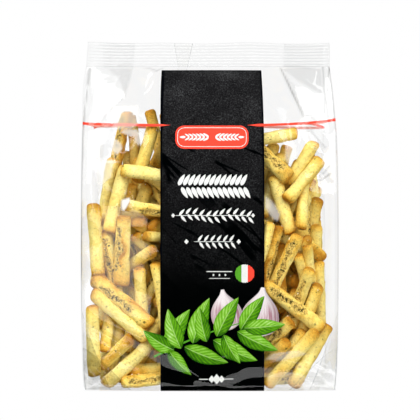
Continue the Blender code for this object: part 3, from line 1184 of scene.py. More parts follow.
def make_herbs(sticks, material):
    """Chopped dried leaf: flakes in the splits, and thinner ones all over the crust."""
    rng = np.random.default_rng(81)
    in_splits, on_crust = 1500, 1500
    splits = rng.choice(np.flatnonzero(sticks.split), in_splits)
    plain = rng.integers(0, len(sticks.radius), on_crust)
    which = np.concatenate([splits, plain])
    low, high = sticks.split_ends[splits, 0], sticks.split_ends[splits, 1]
    share = low + (high - low) * rng.uniform(0, 1, in_splits)
    in_body = CAP_SHARE + (1 - 2 * CAP_SHARE) * share
    along = np.concatenate([in_body, rng.uniform(0.05, 0.95, on_crust)])
    groove = sticks.split_turn[splits] + 0.20 * np.sin(7 * share + sticks.split_wander[splits, 0])
    around = np.concatenate([groove + rng.normal(0, 0.30, in_splits), rng.uniform(0, CIRCLE, on_crust)])
    middle, first, second, outward = surface_places(sticks, which, along, around)
    turn = rng.uniform(0, math.pi, len(which))[:, None]
    cosine, sine = np.cos(turn), np.sin(turn)
    first, second = first * cosine + second * sine, second * cosine - first * sine
    long = rng.uniform(0.25, 0.75, len(which)) * MM
    sizes = joined(long, long * rng.uniform(0.35, 0.8, len(which)), 0.12 * MM)
    sizes[in_splits:] *= [0.6, 0.6, 0.5]
    return scatter("herb_flakes", middle, first, second, outward, sizes, 6, rng, material)


def make_crumbs(sticks, material):
    """Crumbs, flour and salt: pale grains on the crust, thickest low on the sticks and deep between them."""
    rng = np.random.default_rng(83)
    count = 11000
    which = rng.integers(0, len(sticks.radius), count)
    around = rng.uniform(0, CIRCLE, count)
    along = rng.uniform(0.05, 0.95, count)
    middle, first, second, outward = surface_places(sticks, which, along, around)
    # Few grains stay on what faces the film.
    keep = rng.uniform(size=count) < np.where(outward[:, 1] < -0.35, 0.12, 1.0)
    middle, first, second, outward = (values[keep] for values in (middle, first, second, outward))
    long = (0.20 + 0.55 * rng.uniform(0, 1, keep.sum()) ** 1.8) * MM
    wide, thick = (long * rng.uniform(low, high, len(long)) for low, high in ((0.6, 1.0), (0.5, 0.9)))
    sizes = joined(long, wide, thick)
    return scatter("bread_crumbs", middle, first, second, outward, sizes, 4, rng, material)


# ---------------------------------------------------------------------------------------------------------
# Finishes.
def crust_finish():
    """Baked dough: pale gold, tan and brown where it is baked more, specks of herb, a dry fine grain."""
    f = Finish("breadstick_crust")
    cloud = f.noise(95.0, 4.0, 0.55)
    fine = f.noise(900.0, 5.0, 0.65)
    baked = f.linear(f.math("SUBTRACT", cloud, 0.5), 0.95, f.number("baked"))
    baked = f.linear(f.math("SUBTRACT", fine, 0.5), 0.55, baked)
    baked = f.linear(f.number("tone"), 0.16, baked)
    shade = f.ramp(baked, [
        (0.00, (253, 237, 150)), (0.25, (250, 225, 124)), (0.50, (243, 205, 95)), (0.78, (226, 171, 58)),
        (1.00, (180, 120, 24)),
    ])
    olive = f.between(f.noise(60.0, 3.0, 0.6), 0.50, 0.72)
    shade = f.mix(f.times(olive, 0.45), shade, colour(206, 180, 88))
    mottled = f.between(f.noise(520.0, 3.0, 0.6), 0.50, 0.64)
    shade = f.mix(f.times(mottled, 0.36), shade, colour(186, 154, 62))
    # Underneath and by the ends the crust is freckled brown.
    freckles = f.between(f.noise(1300.0, 2.0, 0.7), 0.52, 0.64)
    freckled = f.times(freckles, f.between(baked, 0.30, 0.75, 0.08, 0.6))
    shade = f.mix(freckled, shade, colour(150, 104, 36))

    # Herb specks: the small middles of cells, kept where a slower noise says that herbs lie.
    drift = f.node("ShaderNodeTexNoise", {"Vector": f.place, "Scale": 1400.0}).outputs["Color"]
    bent = f.mix(0.0014, f.place, drift, "ADD")
    specks = 0.0
    for cell, reach, share in ((2.0, 0.30, 0.40), (4.2, 0.24, 0.60), (1.1, 0.30, 0.45)):
        inputs = {"Vector": bent, "Scale": 1.0 / (cell * MM), "Randomness": 1.0}
        cells = f.node("ShaderNodeTexVoronoi", inputs)
        chance = f.node("ShaderNodeSeparateColor", {"Color": cells.outputs["Color"]}).outputs[0]
        size = f.times(chance, reach)
        spot = f.between(cells.outputs["Distance"], size, f.times(size, 0.6))
        kept = f.math("GREATER_THAN", chance, share)
        specks = f.math("MAXIMUM", specks, f.times(spot, kept))
    where = f.between(f.noise(150.0, 2.0, 0.5), 0.36, 0.62)
    specks = f.times(specks, f.linear(where, 0.85, 0.15))
    shade = f.mix(f.times(specks, 0.85), shade, colour(78, 76, 24))

    # Inside a split the dough is torn: pale crumb with ragged dark hollows, their dark partly the colour of
    # herbs and partly painted shade in the crevices.
    opened = f.number("opened")
    # Partly painted shade: where the split is deep and the noise high, the torn dough turns dark.
    hollow = f.linear(f.noise(520.0, 4.0, 0.7), 2.6, f.linear(opened, 0.42, -1.62))
    torn = f.between(f.noise(1100.0, 3.0, 0.7), 0.44, 0.60)
    inside = f.mix(torn, colour(226, 192, 100), colour(150, 120, 50))
    inside = f.mix(f.between(hollow, 0.0, 0.22), inside, colour(66, 58, 22))
    shade = f.mix(f.between(opened, 0.10, 0.30), shade, inside)

    height = f.math("ADD", f.times(fine, 0.5), f.times(f.noise(330.0, 4.0, 0.6), 0.8))
    height = f.math("SUBTRACT", height, f.times(specks, 0.25))
    return f.coated(shade, f.between(fine, 0.3, 0.7, 0.6, 0.85), 0.15, Normal=f.bump(height, 0.7, 0.5 * MM))


def grain_finish(name, rough, specular, stops):
    """Small grains, each a tone of its own."""
    f = Finish(name)
    return f.coated(f.ramp(f.number("tone"), stops), rough, specular)


def film_finish():
    """Clear film: light passes straight through, a little tinted grey, and the surface mirrors as both faces
    do.

    Painted shade greys it along creases and in patches, it hardly mirrors where layers lie pressed together,
    and painted highlights turn it white in patches.
    """
    f = Finish("clear_film")
    # Painted shade: the film's clear tint is darkened to grey where the painted shade says.
    clear = f.transparent(f.mix(f.number("painted_shade"), (0.993, 0.994, 0.993, 1.0), grey(0.30)))
    # Schlick's rule, alike for both sides of a thin sheet: a little square on, rising to 1 along the film.
    glancing = f.node("ShaderNodeLayerWeight", {"Blend": 0.5}).outputs["Facing"]
    share = f.linear(f.math("POWER", glancing, 5.0), 0.965, 0.035)
    share = f.times(share, f.linear(f.number("pressed"), -0.85, 1.0))
    film = f.layered(share, clear, f.mirror(0.03))
    # Painted highlight: white patches of painted glare laid over the film.
    return f.end(f.layered(f.number("painted_glare"), film, f.diffuse((0.80, 0.79, 0.74, 1.0))))


def seal_finish():
    """The heat seal's film, painted grey in level lines along the jaws' fine ribs as their shade, here and
    there stronger.
    """
    f = Finish("film_seal")
    place = f.parts(f.place)
    drift = f.noise(1.0, vector=f.stretched(9.0, 1.0, 30.0))
    count = f.linear(place[2], RIBS / SEAL_HEIGHT, f.times(drift, 1.6))
    # Painted shade: a grey line along each rib.
    line = f.between(f.math("PINGPONG", count, 0.5), 0.24, 0.06)
    uneven = f.noise(1.0, vector=f.stretched(16.0, 1.0, 330.0))
    line = f.times(line, f.between(uneven, 0.36, 0.66, 0.2, 1.0))
    tint = f.mix(line, (0.976, 0.977, 0.976, 1.0), (0.966, 0.969, 0.969, 1.0))
    # Painted shade: a dark uneven line along the crease where the seal begins.
    foot = f.linear(f.noise(55.0, 3.0, 0.6), 2.4 * MM, SEAL_FOOT - 0.5 * MM)
    foot = f.between(f.math("SUBTRACT", place[2], foot), 0.5 * MM, 0.0)
    foot = f.times(foot, f.between(f.noise(30.0, 3.0, 0.6), 0.36, 0.62, 0.15, 1.0))
    film = f.layered(0.025, f.transparent(f.mix(foot, tint, grey(0.93))), f.mirror(0.10))
    # By the bag's edges the pleats' layers stop short of the seal's end.
    left, right = f.math("LESS_THAN", place[0], -66.9 * MM), f.math("GREATER_THAN", place[0], 70.6 * MM)
    short = f.times(f.times(f.number("pleat"), f.math("ADD", left, right)), 0.6)
    return f.end(f.layered(short, film, f.transparent()))


def fold_finish(name, least, most=0.985):
    """A loose film layer, clouded in patches, with painted shade darkening it along its cut edges."""
    f = Finish(name)
    # Painted shade: the film's tint darkens along its cut edges.
    edge = f.between(f.math("ABSOLUTE", f.number("edge")), 0.90, 0.98)
    cloudy = f.between(f.noise(160.0, 3.0, 0.6), 0.35, 0.7)
    tint = f.mix(cloudy, grey(most), (least, least, least * 0.985, 1.0))
    tint = f.mix(edge, tint, (0.72, 0.73, 0.73, 1.0))
    return f.end(f.layered(0.03, f.transparent(tint), f.mirror(0.08)))


def ink_finish(name, shade):
    """A plain ink with a faint fine grain."""
    f = Finish(name)
    grain = f.between(f.noise(2500.0, 2.0, 0.6), 0.2, 0.8, 0.94, 1.04)
    grain = f.node("ShaderNodeCombineColor", {0: grain, 1: grain, 2: grain}).outputs[0]
    return f.inked(f.mix(1.0, shade, grain, "MULTIPLY"))


def slate_finish():
    """Slate-look print: mottled charcoal with slanting dark seams and fine pale grain, black lower down."""
    f = Finish("slate_print")
    mottled = f.linear(f.noise(45.0, 4.0, 0.6), 0.50, -0.25)
    level = f.linear(f.noise(1250.0, 2.0, 0.8), 1.30, mottled)
    shade = f.ramp(level, [
        (0.38, (11, 11, 12)), (0.56, (20, 20, 21)), (0.70, (32, 32, 33)), (0.96, (64, 65, 66)),
    ])
    place = f.parts(f.place)
    # Long thin seams under the badge: slanting stretched noise where it crosses its middle, here and there.
    seams = 0.0
    for turn, scale in ((-33, 0.55), (-48, 0.42)):
        wavy = f.noise(scale, 5.0, 0.45, f.stretched(9.0, 1.0, 62.0, math.radians(turn)))
        ridge = f.math("ABSOLUTE", f.math("SUBTRACT", wavy, 0.5))
        seams = f.math("MAXIMUM", seams, f.between(ridge, 0.0105, 0.0065))
    kept = f.between(f.noise(38.0, 2.0, 0.5), 0.44, 0.52)
    seamed = f.times(f.between(place[2], 152 * MM, 142 * MM), kept)
    shade = f.mix(f.times(seams, seamed), shade, colour(1, 2, 3))
    for start, stop, most in ((156, 96, 0.60), (92, 54, 1.0)):
        shade = f.mix(f.between(place[2], start * MM, stop * MM, 0.0, most), shade, colour(1, 2, 2))
    # A plain dark line along the sides and the top.
    off_middle = f.math("ABSOLUTE", f.math("SUBTRACT", place[0], STRIP_MIDDLE))
    edge = f.between(off_middle, STRIP_HALF - 1.3 * MM, STRIP_HALF - 0.8 * MM)
    edge = f.math("MAXIMUM", edge, f.between(place[2], STRIP_TOP - 0.9 * MM, STRIP_TOP - 0.5 * MM))
    shade = f.mix(edge, shade, colour(4, 5, 8))
    return f.inked(shade)


def leaf_finish():
    """Printed leaf: one half lit, one in shade, a pale midrib, slanting side veins with swellings between."""
    f = Finish("leaf_print")
    spot = f.print_place()
    across = f.linear(spot[0], 2.0, -1.0)
    off = f.math("ABSOLUTE", across)
    tone = f.number("tone")
    phase = f.linear(spot[1], 8.0, f.times(off, -2.4))
    wave = f.math("PINGPONG", f.math("ADD", phase, tone), 0.5)
    swell = f.between(wave, 0.02, 0.5)
    lit = f.between(across, 0.28, -0.35)
    level = f.linear(lit, 0.34, f.times(swell, 0.26))
    level = f.math("ADD", level, f.linear(f.noise(260.0, 3.0, 0.55), 0.5, -0.18))
    level = f.linear(tone, 0.16, level)
    level = f.math("SUBTRACT", level, f.times(f.between(off, 0.72, 1.0), 0.22))
    level = f.math("SUBTRACT", level, f.times(f.between(spot[1], 0.22, 0.0), 0.30))
    shade = f.ramp(level, [
        (0.02, (20, 74, 4)), (0.26, (68, 132, 12)), (0.50, (106, 172, 30)), (0.74, (152, 204, 88)),
        (0.95, (212, 234, 184)),
    ])
    vein = f.times(f.between(wave, 0.06, 0.0), 0.35)
    shade = f.mix(vein, shade, colour(150, 196, 96))
    rib = f.between(off, 0.085, 0.03)
    shade = f.mix(f.times(rib, 0.75), shade, colour(170, 208, 120))
    return f.inked(shade)


def bulb_finish():
    """Printed shallot: white skin, pink streaks that follow the bulb round from root to neck."""
    f = Finish("bulb_print")
    spot = f.print_place()
    across = f.linear(spot[0], 1.98, -0.99)
    turn = f.math("ARCSINE", across)
    axes = ((turn, 7.0), (spot[1], 1.3), (f.number("tone"), 9.0))
    axes = {axis: f.times(value, scale) for axis, (value, scale) in enumerate(axes)}
    wound = f.node("ShaderNodeCombineXYZ", axes).outputs[0]
    streak = f.noise(1.0, 4.0, 0.6, wound, 0.3)
    fine = f.noise(3.2, 3.0, 0.5, wound)
    body = f.times(f.between(spot[1], 0.86, 0.45), f.between(spot[1], 0.0, 0.12))
    pink = f.times(f.between(streak, 0.38, 0.66, 0.08, 0.9), body)
    shade = f.mix(pink, colour(232, 226, 226), colour(158, 82, 106))
    shade = f.mix(f.times(f.between(fine, 0.50, 0.66), 0.30), shade, colour(196, 168, 172))
    dark = f.math("ADD", f.between(across, 0.25, 1.0, 0.0, 0.55), f.between(across, -0.75, -1.0, 0.0, 0.35))
    shade = f.mix(dark, shade, colour(120, 96, 104))
    shade = f.mix(f.between(spot[1], 0.05, 0.0, 0.0, 0.7), shade, colour(150, 128, 110))
    return f.inked(shade)


# ---------------------------------------------------------------------------------------------------------
# The print, laid just inside the film. Each ink lies at its own depth, the nearest to the film on top.
SLATE_LIFT = 0.16 * MM
INK_LIFT = 0.09 * MM


def printed(name, across, up, lift, material, numbers=(), place=None, panel=on_front):
    """A patch of print, or many joined: grids of (across, up) carried onto the film, one for each patch."""
    across, up = np.broadcast_arrays(across, up)
    if across.ndim == 2:
        across, up = across[None], up[None]
    count, rows, columns = across.shape
    points = panel(across, up, lift)
    quads = grid_quads(rows, columns)[None] + (np.arange(count) * rows * columns)[:, None, None]
    if panel is on_back:
        quads = quads[..., ::-1]
    piece = make_piece(name, points, quads, None, material)
    for key, values in dict(numbers).items():
        add_number(piece, key, np.broadcast_to(values, across.shape))
    if place:
        add_place(piece, "print", *(np.broadcast_to(values, across.shape) for values in place))
    return piece


def make_strip(name, material, panel, lift):
    """The dark strip down a panel's middle, from the base to just under the seal."""
    across = STRIP_MIDDLE + STRIP_HALF * np.linspace(-1, 1, 61)[None, :]
    up = np.linspace(0.4 * MM, STRIP_TOP, 190)[:, None]
    return printed(name, across, up, lift, material, panel=panel)


def blades(rows, shape, steps, columns):
    """Grids for tapering shapes, a row each: foot (across, up), lean, length, width and bend, mm and degrees.

    The middle line is a parabola that leaves the foot along the lean and turns by the bend. The half width
    along it is the shape's function of the share s of its length. Returns across, up, s and t from -1 to 1.
    """
    foot_x, foot_z, lean, length, wide, bend = np.array(rows, dtype=float).T[..., None, None]
    s, t = np.linspace(0, 1, steps)[None, :, None], np.linspace(-1, 1, columns)[None, None, :]
    lean, bend = np.radians(lean), np.radians(bend)
    turned = lean + bend * s
    middle_x = foot_x + length * (s * np.sin(lean) + bend * s * s / 2 * np.cos(lean))
    middle_z = foot_z + length * (s * np.cos(lean) - bend * s * s / 2 * np.sin(lean))
    half = wide / 2 * shape(s)
    return (middle_x + t * half * np.cos(turned)) * MM, (middle_z - t * half * np.sin(turned)) * MM, s, t


def print_blades(name, rows, shape, steps, columns, lift, material):
    """One joined patch of print for rows of tapering shapes."""
    return printed(name, *blades(rows, shape, steps, columns)[:2], lift, material)


def print_overlapping(name, rows, shape, steps, columns, depths, tones, material):
    """Tapering shapes each printed over the one before, with their own tones and a UV map over each.

    The depths are how far behind the other ink the first lies, and how much nearer each next one is; mm.
    """
    across, up, s, t = blades(rows, shape, steps, columns)
    first, step = depths
    lift = INK_LIFT + first * MM - step * MM * np.arange(len(rows))[:, None, None]
    place = (t * 0.5 + 0.5 + 0 * s, s + 0 * t)
    return printed(name, across, up, lift, material, {"tone": tones[:, None, None]}, place)


def leaf_shape(s):
    """A lance: widest before the middle, pointed at both ends."""
    return np.sin(math.pi * s**0.82) ** 0.85 * (1 - 0.25 * s) + 0.02


def grain_shape(s):
    """A grain of wheat: plump near its foot, pointed at the top."""
    return np.sin(math.pi * s**0.7) ** 0.7 + 0.03


def bar_shape(s):
    """A bar with round ends, six times as long as wide."""
    near = np.clip(1 - 12 * np.minimum(s, 1 - s), 0, 1)
    return np.sqrt(1 - 0.97 * near**2)


def diamond_shape(s):
    """A diamond: widest at its middle, straight to both points."""
    return 1 - np.abs(2 * s - 1) + 0.01


def wheat_ear(foot_x, foot_z, lean, pairs, pitch, grain):
    """Rows for an ear: grains in pairs along a line, each leaning off it, and one at the tip."""
    turn = math.radians(lean)
    rows = []
    for i in range(pairs):
        x, z = foot_x + i * pitch * math.sin(turn), foot_z + i * pitch * math.cos(turn)
        size = grain * (1 - 0.03 * i)
        rows += [(x, z, lean - 44, size, size * 0.30, 20), (x, z, lean + 44, size, size * 0.30, -20)]
    x, z = foot_x + pairs * pitch * math.sin(turn), foot_z + pairs * pitch * math.cos(turn)
    return rows + [(x, z, lean, grain * 0.9, grain * 0.36, 0)]


def rounded_panel(middle_x, middle_z, half_x, half_z, corner, rows, columns):
    """A grid over a rectangle with round corners, or over a disc where the corner is half its size."""
    z = half_z * np.sin(np.linspace(-math.pi / 2, math.pi / 2, rows))[:, None]
    into = np.clip(np.abs(z) - (half_z - corner), 0, corner * 0.998)
    half = half_x - corner + np.sqrt(corner**2 - into**2)
    t = np.linspace(-1, 1, columns)[None, :]
    return (middle_x + t * half) * MM, (middle_z + z + 0 * t) * MM


def stripe_height(across):
    """Middle of the thin stripe on the front: level over the left window, climbing to the right crease."""
    climb = 3.5 * MM * np.clip((across - 24 * MM) / (51 * MM), 0, 1) ** 2.0
    return 157.5 * MM + climb + 1.2 * MM * np.clip((-across - 30 * MM) / (45 * MM), 0, 1) ** 1.6


def make_stripes(material):
    """The stripe beside the badge: two bands on the front that taper to points over the strip."""
    t = np.array([-1.0, 0.0, 1.0])[:, None]
    left = np.linspace(-74.9 * MM, -23.5 * MM, 90)
    right = np.linspace(22.5 * MM, 74.9 * MM, 90)
    across = np.stack([left, right])[:, None, :] + 0 * t
    inward = np.minimum(np.abs(across + 23.5 * MM), np.abs(across - 22.5 * MM))
    half = 0.78 * MM * (0.12 + 0.88 * ease(0, 7 * MM, inward))
    return printed("red_stripe", across, stripe_height(across) + t * half, INK_LIFT, material)


def make_far_stripes(material, underprint):
    """The same stripe round the pleats and across the back, where it stands a little higher."""
    t = np.array([-1.0, 0.0, 1.0])[:, None]
    pieces = []
    along = np.linspace(-0.995, 0.995, 61)[None, :]
    for side, name, front in ((-1, "left", 158.7), (1, "right", 161.0)):
        up = (front + (161.4 - front) * (along + 1) / 2 + 0.6 * np.sin(4 * along)) * MM + 0.75 * MM * t
        points = on_pleat(along, up, side)
        quads = grid_quads(3, 61) if side > 0 else grid_quads(3, 61)[:, ::-1]
        layers = (("red_pleat_stripe_", 0.10, material), ("pleat_stripe_underprint_", 0.16, underprint))
        for label, inward, ink in layers:
            inner = points - np.array([side * inward * MM, 0, 0])
            pieces.append(make_piece(label + name, inner, quads, None, ink))
    across = np.linspace(-74.9 * MM, 74.9 * MM, 120)[None, :]
    up = 161.4 * MM + 0.5 * MM * np.sin(across / (14 * MM)) + 0.75 * MM * t
    layers = (("red_back_stripe", 0.0, material), ("back_stripe_underprint", 0.05, underprint))
    for name, inward, ink in layers:
        pieces.append(printed(name, across, up, INK_LIFT + inward * MM, ink, panel=on_back))
    return pieces


BADGE_MIDDLE = (1.2, 150.2)


def make_badge(red, pale):
    """A red badge with round ends, a pale line inside its edge, and two ears of wheat lying foot to foot."""
    middle_x, middle_z = BADGE_MIDDLE
    across, up = rounded_panel(middle_x, middle_z, 21.5, 7.0, 5.2, 25, 61)
    badge = printed("red_badge", across, up, INK_LIFT, red)
    turn = np.linspace(0, CIRCLE, 181)[None, :]
    width = np.array([-0.16, 0.16])[:, None]

    def on_ring(out):
        """The rounded rectangle's outline, moved out by a distance: straight runs and quarter circles."""
        half_x, half_z, corner = 20.2 + out, 5.7 + out, 4.0 + out
        x, z = np.cos(turn), np.sin(turn)
        reach = np.maximum(np.abs(x) / half_x, np.abs(z) / half_z)
        x, z = x / reach, z / reach
        over_x, over_z = np.abs(x) - (half_x - corner), np.abs(z) - (half_z - corner)
        both = (over_x > 0) & (over_z > 0)
        share = np.where(both, corner / np.maximum(np.hypot(over_x, over_z), 1e-6), 1.0)
        x = np.where(both, np.sign(x) * (half_x - corner + over_x * share), x)
        z = np.where(both, np.sign(z) * (half_z - corner + over_z * share), z)
        return (middle_x + x) * MM, (middle_z + z) * MM

    line = printed("badge_line", *on_ring(width), INK_LIFT - 0.03 * MM, pale)
    ears = []
    for side in (1, -1):
        ears += wheat_ear(middle_x + 2 * side, middle_z, 90 * side, 6, 2.25, 4.0)
    grains = print_blades("badge_wheat", ears, grain_shape, 9, 5, INK_LIFT - 0.03 * MM, pale)
    return badge, line, grains


def make_pale_ornaments(material):
    """Pale ornaments down the strip: a plaited band of grains, two vines, thin rules and diamonds."""
    plait = []
    for i in range(13):
        x = -17.5 + i * 3.05
        plait += [(x - 0.9, 121.6, 24, 7.4, 2.5, 10), (x + 0.9, 120.6, 156, 7.4, 2.5, -10)]
    grains = print_blades("plaited_grains", plait, grain_shape, 11, 5, INK_LIFT, material)

    vine = []
    for i in range(11):
        x = -18.0 + i * 3.95
        z = 104.0 + 0.9 * math.sin(i * 1.1)
        vine += [(x, z, 34, 4.9, 1.7, 12), (x + 1.0, z, 146, 4.9, 1.7, -12)]
    for i in range(6):
        x = -7.0 + i * 3.7
        vine += [(x, 88.9, 30, 4.6, 1.6, 12), (x + 0.9, 88.4, 150, 4.6, 1.6, -12)]
    leaves = print_blades("vine_leaves", vine, leaf_shape, 11, 5, INK_LIFT, material)

    rules = (
        (-20.5, 104.0, 44.5, 0.34), (-9.5, 88.7, 23.0, 0.34), (-2.2, 71.2, 15.4, 0.5),
        (-0.6, 67.2, 12.4, 0.34), (-6.4, 8.0, 5.2, 0.5), (8.6, 8.0, 5.2, 0.5),
    )
    rules = [(x, z, 90, length, wide, 0) for x, z, length, wide in rules]
    rules = print_blades("thin_rules", rules, bar_shape, 60, 3, INK_LIFT, material)

    def diamond(x, z, size):
        return (x, z - size, 0, 2 * size, 1.7 * size, 0)

    marks = [diamond(x, 88.7, 1.5) for x in (-13.8, 16.8)]
    marks += [diamond(x, 104.0, 1.3) for x in (-21.6, 25.2)]
    marks += [diamond(x, 69.2, 0.75) for x in (2.0, 5.5, 9.0)]
    marks += [diamond(x, 8.0, size) for x, size in ((1.0, 2.2), (3.9, 3.0), (6.8, 2.2))]
    marks = print_blades("diamonds", marks, diamond_shape, 9, 5, INK_LIFT, material)
    return grains, leaves, rules, marks


def make_tricolour(green, pale, red):
    """A small disc in three upright fields: each column reaches to the circle, its outline uneven."""
    fields = []
    stripes = (("green", -5.6, -1.9, green), ("pale", -1.9, 1.8, pale), ("red", 1.8, 5.6, red))
    for name, low, high, ink in stripes:
        x = np.linspace(low, high, 11)[None, :]
        half = 5.3 * np.sqrt(1 - (x / 5.75) ** 2) + 0.22 * np.sin(5 * x)
        up = 70.0 + half * np.linspace(-1, 1, 9)[:, None]
        fields.append(printed(name + "_field", (20.3 + x + 0 * up) * MM, up * MM, INK_LIFT, ink))
    return fields


# Foot across and up, lean, length, width and bend of each leaf, from the back of the spray to its front.
LEAVES = (
    (-25, 25, 20, 27, 11.5, 18), (-10, 29, 12, 28, 12.0, 16), (4, 33, 22, 26, 11.5, 14),
    (18, 37, 30, 24, 10.5, 10), (-15, 27, 118, 27, 11.0, -16), (2, 31, 124, 28, 12.0, -18),
    (16, 36, 122, 26, 11.0, -14), (-24, 25, 150, 19, 9.0, -24), (-21, 25, -68, 21, 10.0, 22),
    (-17, 26, -28, 24, 11.0, 20), (20, 38, 88, 24, 10.5, -6), (-2, 30, -20, 20, 9.5, 18),
    (8, 34, 160, 19, 9.0, -20),
)


def make_leaf_spray(leaf, stalk):
    """A spray of pointed leaves along a rising stalk; every leaf is printed over the one before."""
    tones = np.random.default_rng(5).uniform(0, 1, len(LEAVES))
    leaves = print_overlapping("leaf_spray", LEAVES, leaf_shape, 29, 15, (0.035, 0.004), tones, leaf)
    across, up, s, t = blades([(-33, 21, 62, 58, 1.3, 14)], lambda s: 1 - 0.6 * s, 60, 3)
    lift = INK_LIFT + 0.045 * MM
    stem = printed("spray_stalk", across, up, lift, stalk, {"tone": 0.4 + 0 * (s + t)}, (t, s))
    return leaves, stem


# Root across and up, lean, height, width, bend and tone: the larger one stands behind the smaller.
BULBS = ((27.5, 33.0, 10, 29.0, 22.5, -6.0, 0.3), (12.0, 37.0, -16, 24.0, 18.5, 9.6, 0.8))


def bulb_shape(s):
    """A shallot from root to tip: full and round, then drawn in to a short pointed neck."""
    at = np.array([0, 0.03, 0.09, 0.2, 0.36, 0.52, 0.66, 0.78, 0.89, 1.0])
    half = np.array([0.10, 0.36, 0.66, 0.92, 1.0, 0.93, 0.74, 0.47, 0.22, 0.10])
    return smooth_through(at, half, s)


def make_bulbs(material):
    """Two shallots behind the leaves, the smaller printed over the larger."""
    tones = np.array([row[6] for row in BULBS])
    rows = [row[:6] for row in BULBS]
    return print_overlapping("shallots", rows, bulb_shape, 41, 25, (0.055, 0.006), tones, material)


# ---------------------------------------------------------------------------------------------------------
# The stage: a pale floor, a white surround, soft lights, and the camera level with the bag's middle.
def build_floor():
    """A floor under the bag, its front edge close to it: plain white when looked at, grey to other rays."""
    f = Finish("pale_floor")
    seen = f.node("ShaderNodeLightPath").outputs["Is Camera Ray"]
    paint = f.diffuse(f.mix(seen, grey(0.30), grey(0.0)))
    glow = f.glow(f.mix_number(seen, 0.12, 1.0))
    material = f.end(f.node("ShaderNodeAddShader", {0: paint, 1: glow}).outputs[0])
    across, back = np.meshgrid(np.linspace(-0.9, 0.9, 19), np.linspace(-0.090, 2.6, 10))
    floor = make_piece("floor", joined(across, back, 0.0), grid_quads(10, 19), None, material)
    floor.visible_glossy = False


def build_surround():
    """White as the camera sees it; what the film mirrors is dark straight in front and pale to the sides."""
    world = bpy.data.worlds.new("surround")
    bpy.context.scene.world = world
    world.use_nodes = True
    w = Nodes(world.node_tree, "ShaderNodeOutputWorld")
    path = w.node("ShaderNodeLightPath").outputs
    way = w.parts(w.node("ShaderNodeTexCoord").outputs["Generated"])
    # Dark towards the front, where the studio behind the camera is unlit, pale behind and overhead, and pale
    # where a table would be, steeply down.
    table = w.times(w.between(way[2], -0.355, -0.375, 0.0, 2.3), w.between(way[2], -0.62, -0.60))
    mirrored = w.math("MAXIMUM", w.between(way[1], -0.15, 0.30, 0.004, 0.85), table)
    strength = w.mix_number(path["Is Glossy Ray"], 0.36, mirrored)
    strength = w.mix_number(path["Is Camera Ray"], strength, 1.0)
    w.end(w.node("ShaderNodeBackground", {"Color": WHITE, "Strength": strength}).outputs[0])


def rectangle_light(name, wide, tall, energy):
    """A flat rectangular light of that size in metres and energy in watts."""
    light = bpy.data.lights.new(name, "AREA")
    light.shape, light.size, light.size_y, light.energy = "RECTANGLE", wide, tall, energy
    return put(name, light)


def soft_light(name, azimuth, elevation, distance, wide, tall, power):
    """A rectangular light that isn't mirrored, aimed at the bag's middle from an azimuth and elevation.

    The azimuth is 0 in front and grows to the right.
    """
    turn, tilt = math.radians(azimuth), math.radians(elevation)
    target = np.array([0.0, 0.0, BAG_HEIGHT / 2])
    away = np.array([math.sin(turn) * math.cos(tilt), -math.cos(turn) * math.cos(tilt), math.sin(tilt)])
    lamp = rectangle_light(name, wide, tall, power)
    lamp.location = target + away * distance
    lamp.rotation_euler = (math.pi / 2 - tilt, 0, turn)
    lamp.visible_glossy = False


def mirrored_card(name, middle, wide, tall, radiance):
    """An upright rectangular light, seen only mirrored, that faces the bag's front."""
    lamp = rectangle_light(name, wide, tall, radiance * math.pi * wide * tall)
    lamp.location = middle
    lamp.rotation_euler = (math.pi / 2, 0, 0)
    lamp.visible_diffuse = False


def mirrored_shape(name, corners, radiance):
    """A flat glowing shape with those corners, which is only seen mirrored."""
    f = Finish(name)
    mesh = bpy.data.meshes.new(name)
    mesh.from_pydata(corners, [], [tuple(range(len(corners)))])
    mesh.materials.append(f.end(f.glow(radiance)))
    shape = put(name, mesh)
    shape.visible_camera = shape.visible_diffuse = shape.visible_shadow = False


CAMERA_DISTANCE = 0.43
CAMERA_HEIGHT = 0.5057 * BAG_HEIGHT
CAMERA_LENS = 58.97


def build_camera():
    """A level camera straight in front of the bag, just above its middle."""
    camera = bpy.data.cameras.new("camera")
    camera.lens, camera.sensor_width = CAMERA_LENS, 36.0
    camera.clip_start, camera.clip_end = 0.01, 20.0
    holder = put("camera", camera)
    holder.location = (0.0, -CAMERA_DISTANCE, CAMERA_HEIGHT)
    holder.rotation_euler = (math.pi / 2, 0, 0)
    bpy.context.scene.camera = holder


# The mirrored cards, in metres: overhead ones as (across, towards the back) at the ceiling's height, and one
# low in front as (across, up) in the windows' plane.
CEILING = 2.0
LEFT_CEILING = (
    (-0.36, -0.22), (-0.39, -0.70), (-0.44, -0.90), (-0.55, -1.10), (-0.63, -1.32), (-0.71, -1.65),
    (-1.5, -1.65), (-1.5, -0.22),
)
RIGHT_CEILING = ((0.60, -0.42), (0.95, -0.59), (1.5, -0.59), (1.5, -1.75), (0.62, -1.75))
WINDOW = -0.8
LOW_WINDOW = (
    (-0.255, 0.19), (-0.225, 0.165), (-0.18, 0.115), (-0.14, 0.085), (-0.095, 0.042), (-0.13, -0.01),
    (-0.16, 0.0), (-0.165, -0.06), (-0.11, -0.065), (-0.12, -0.09), (-0.255, -0.13),
)


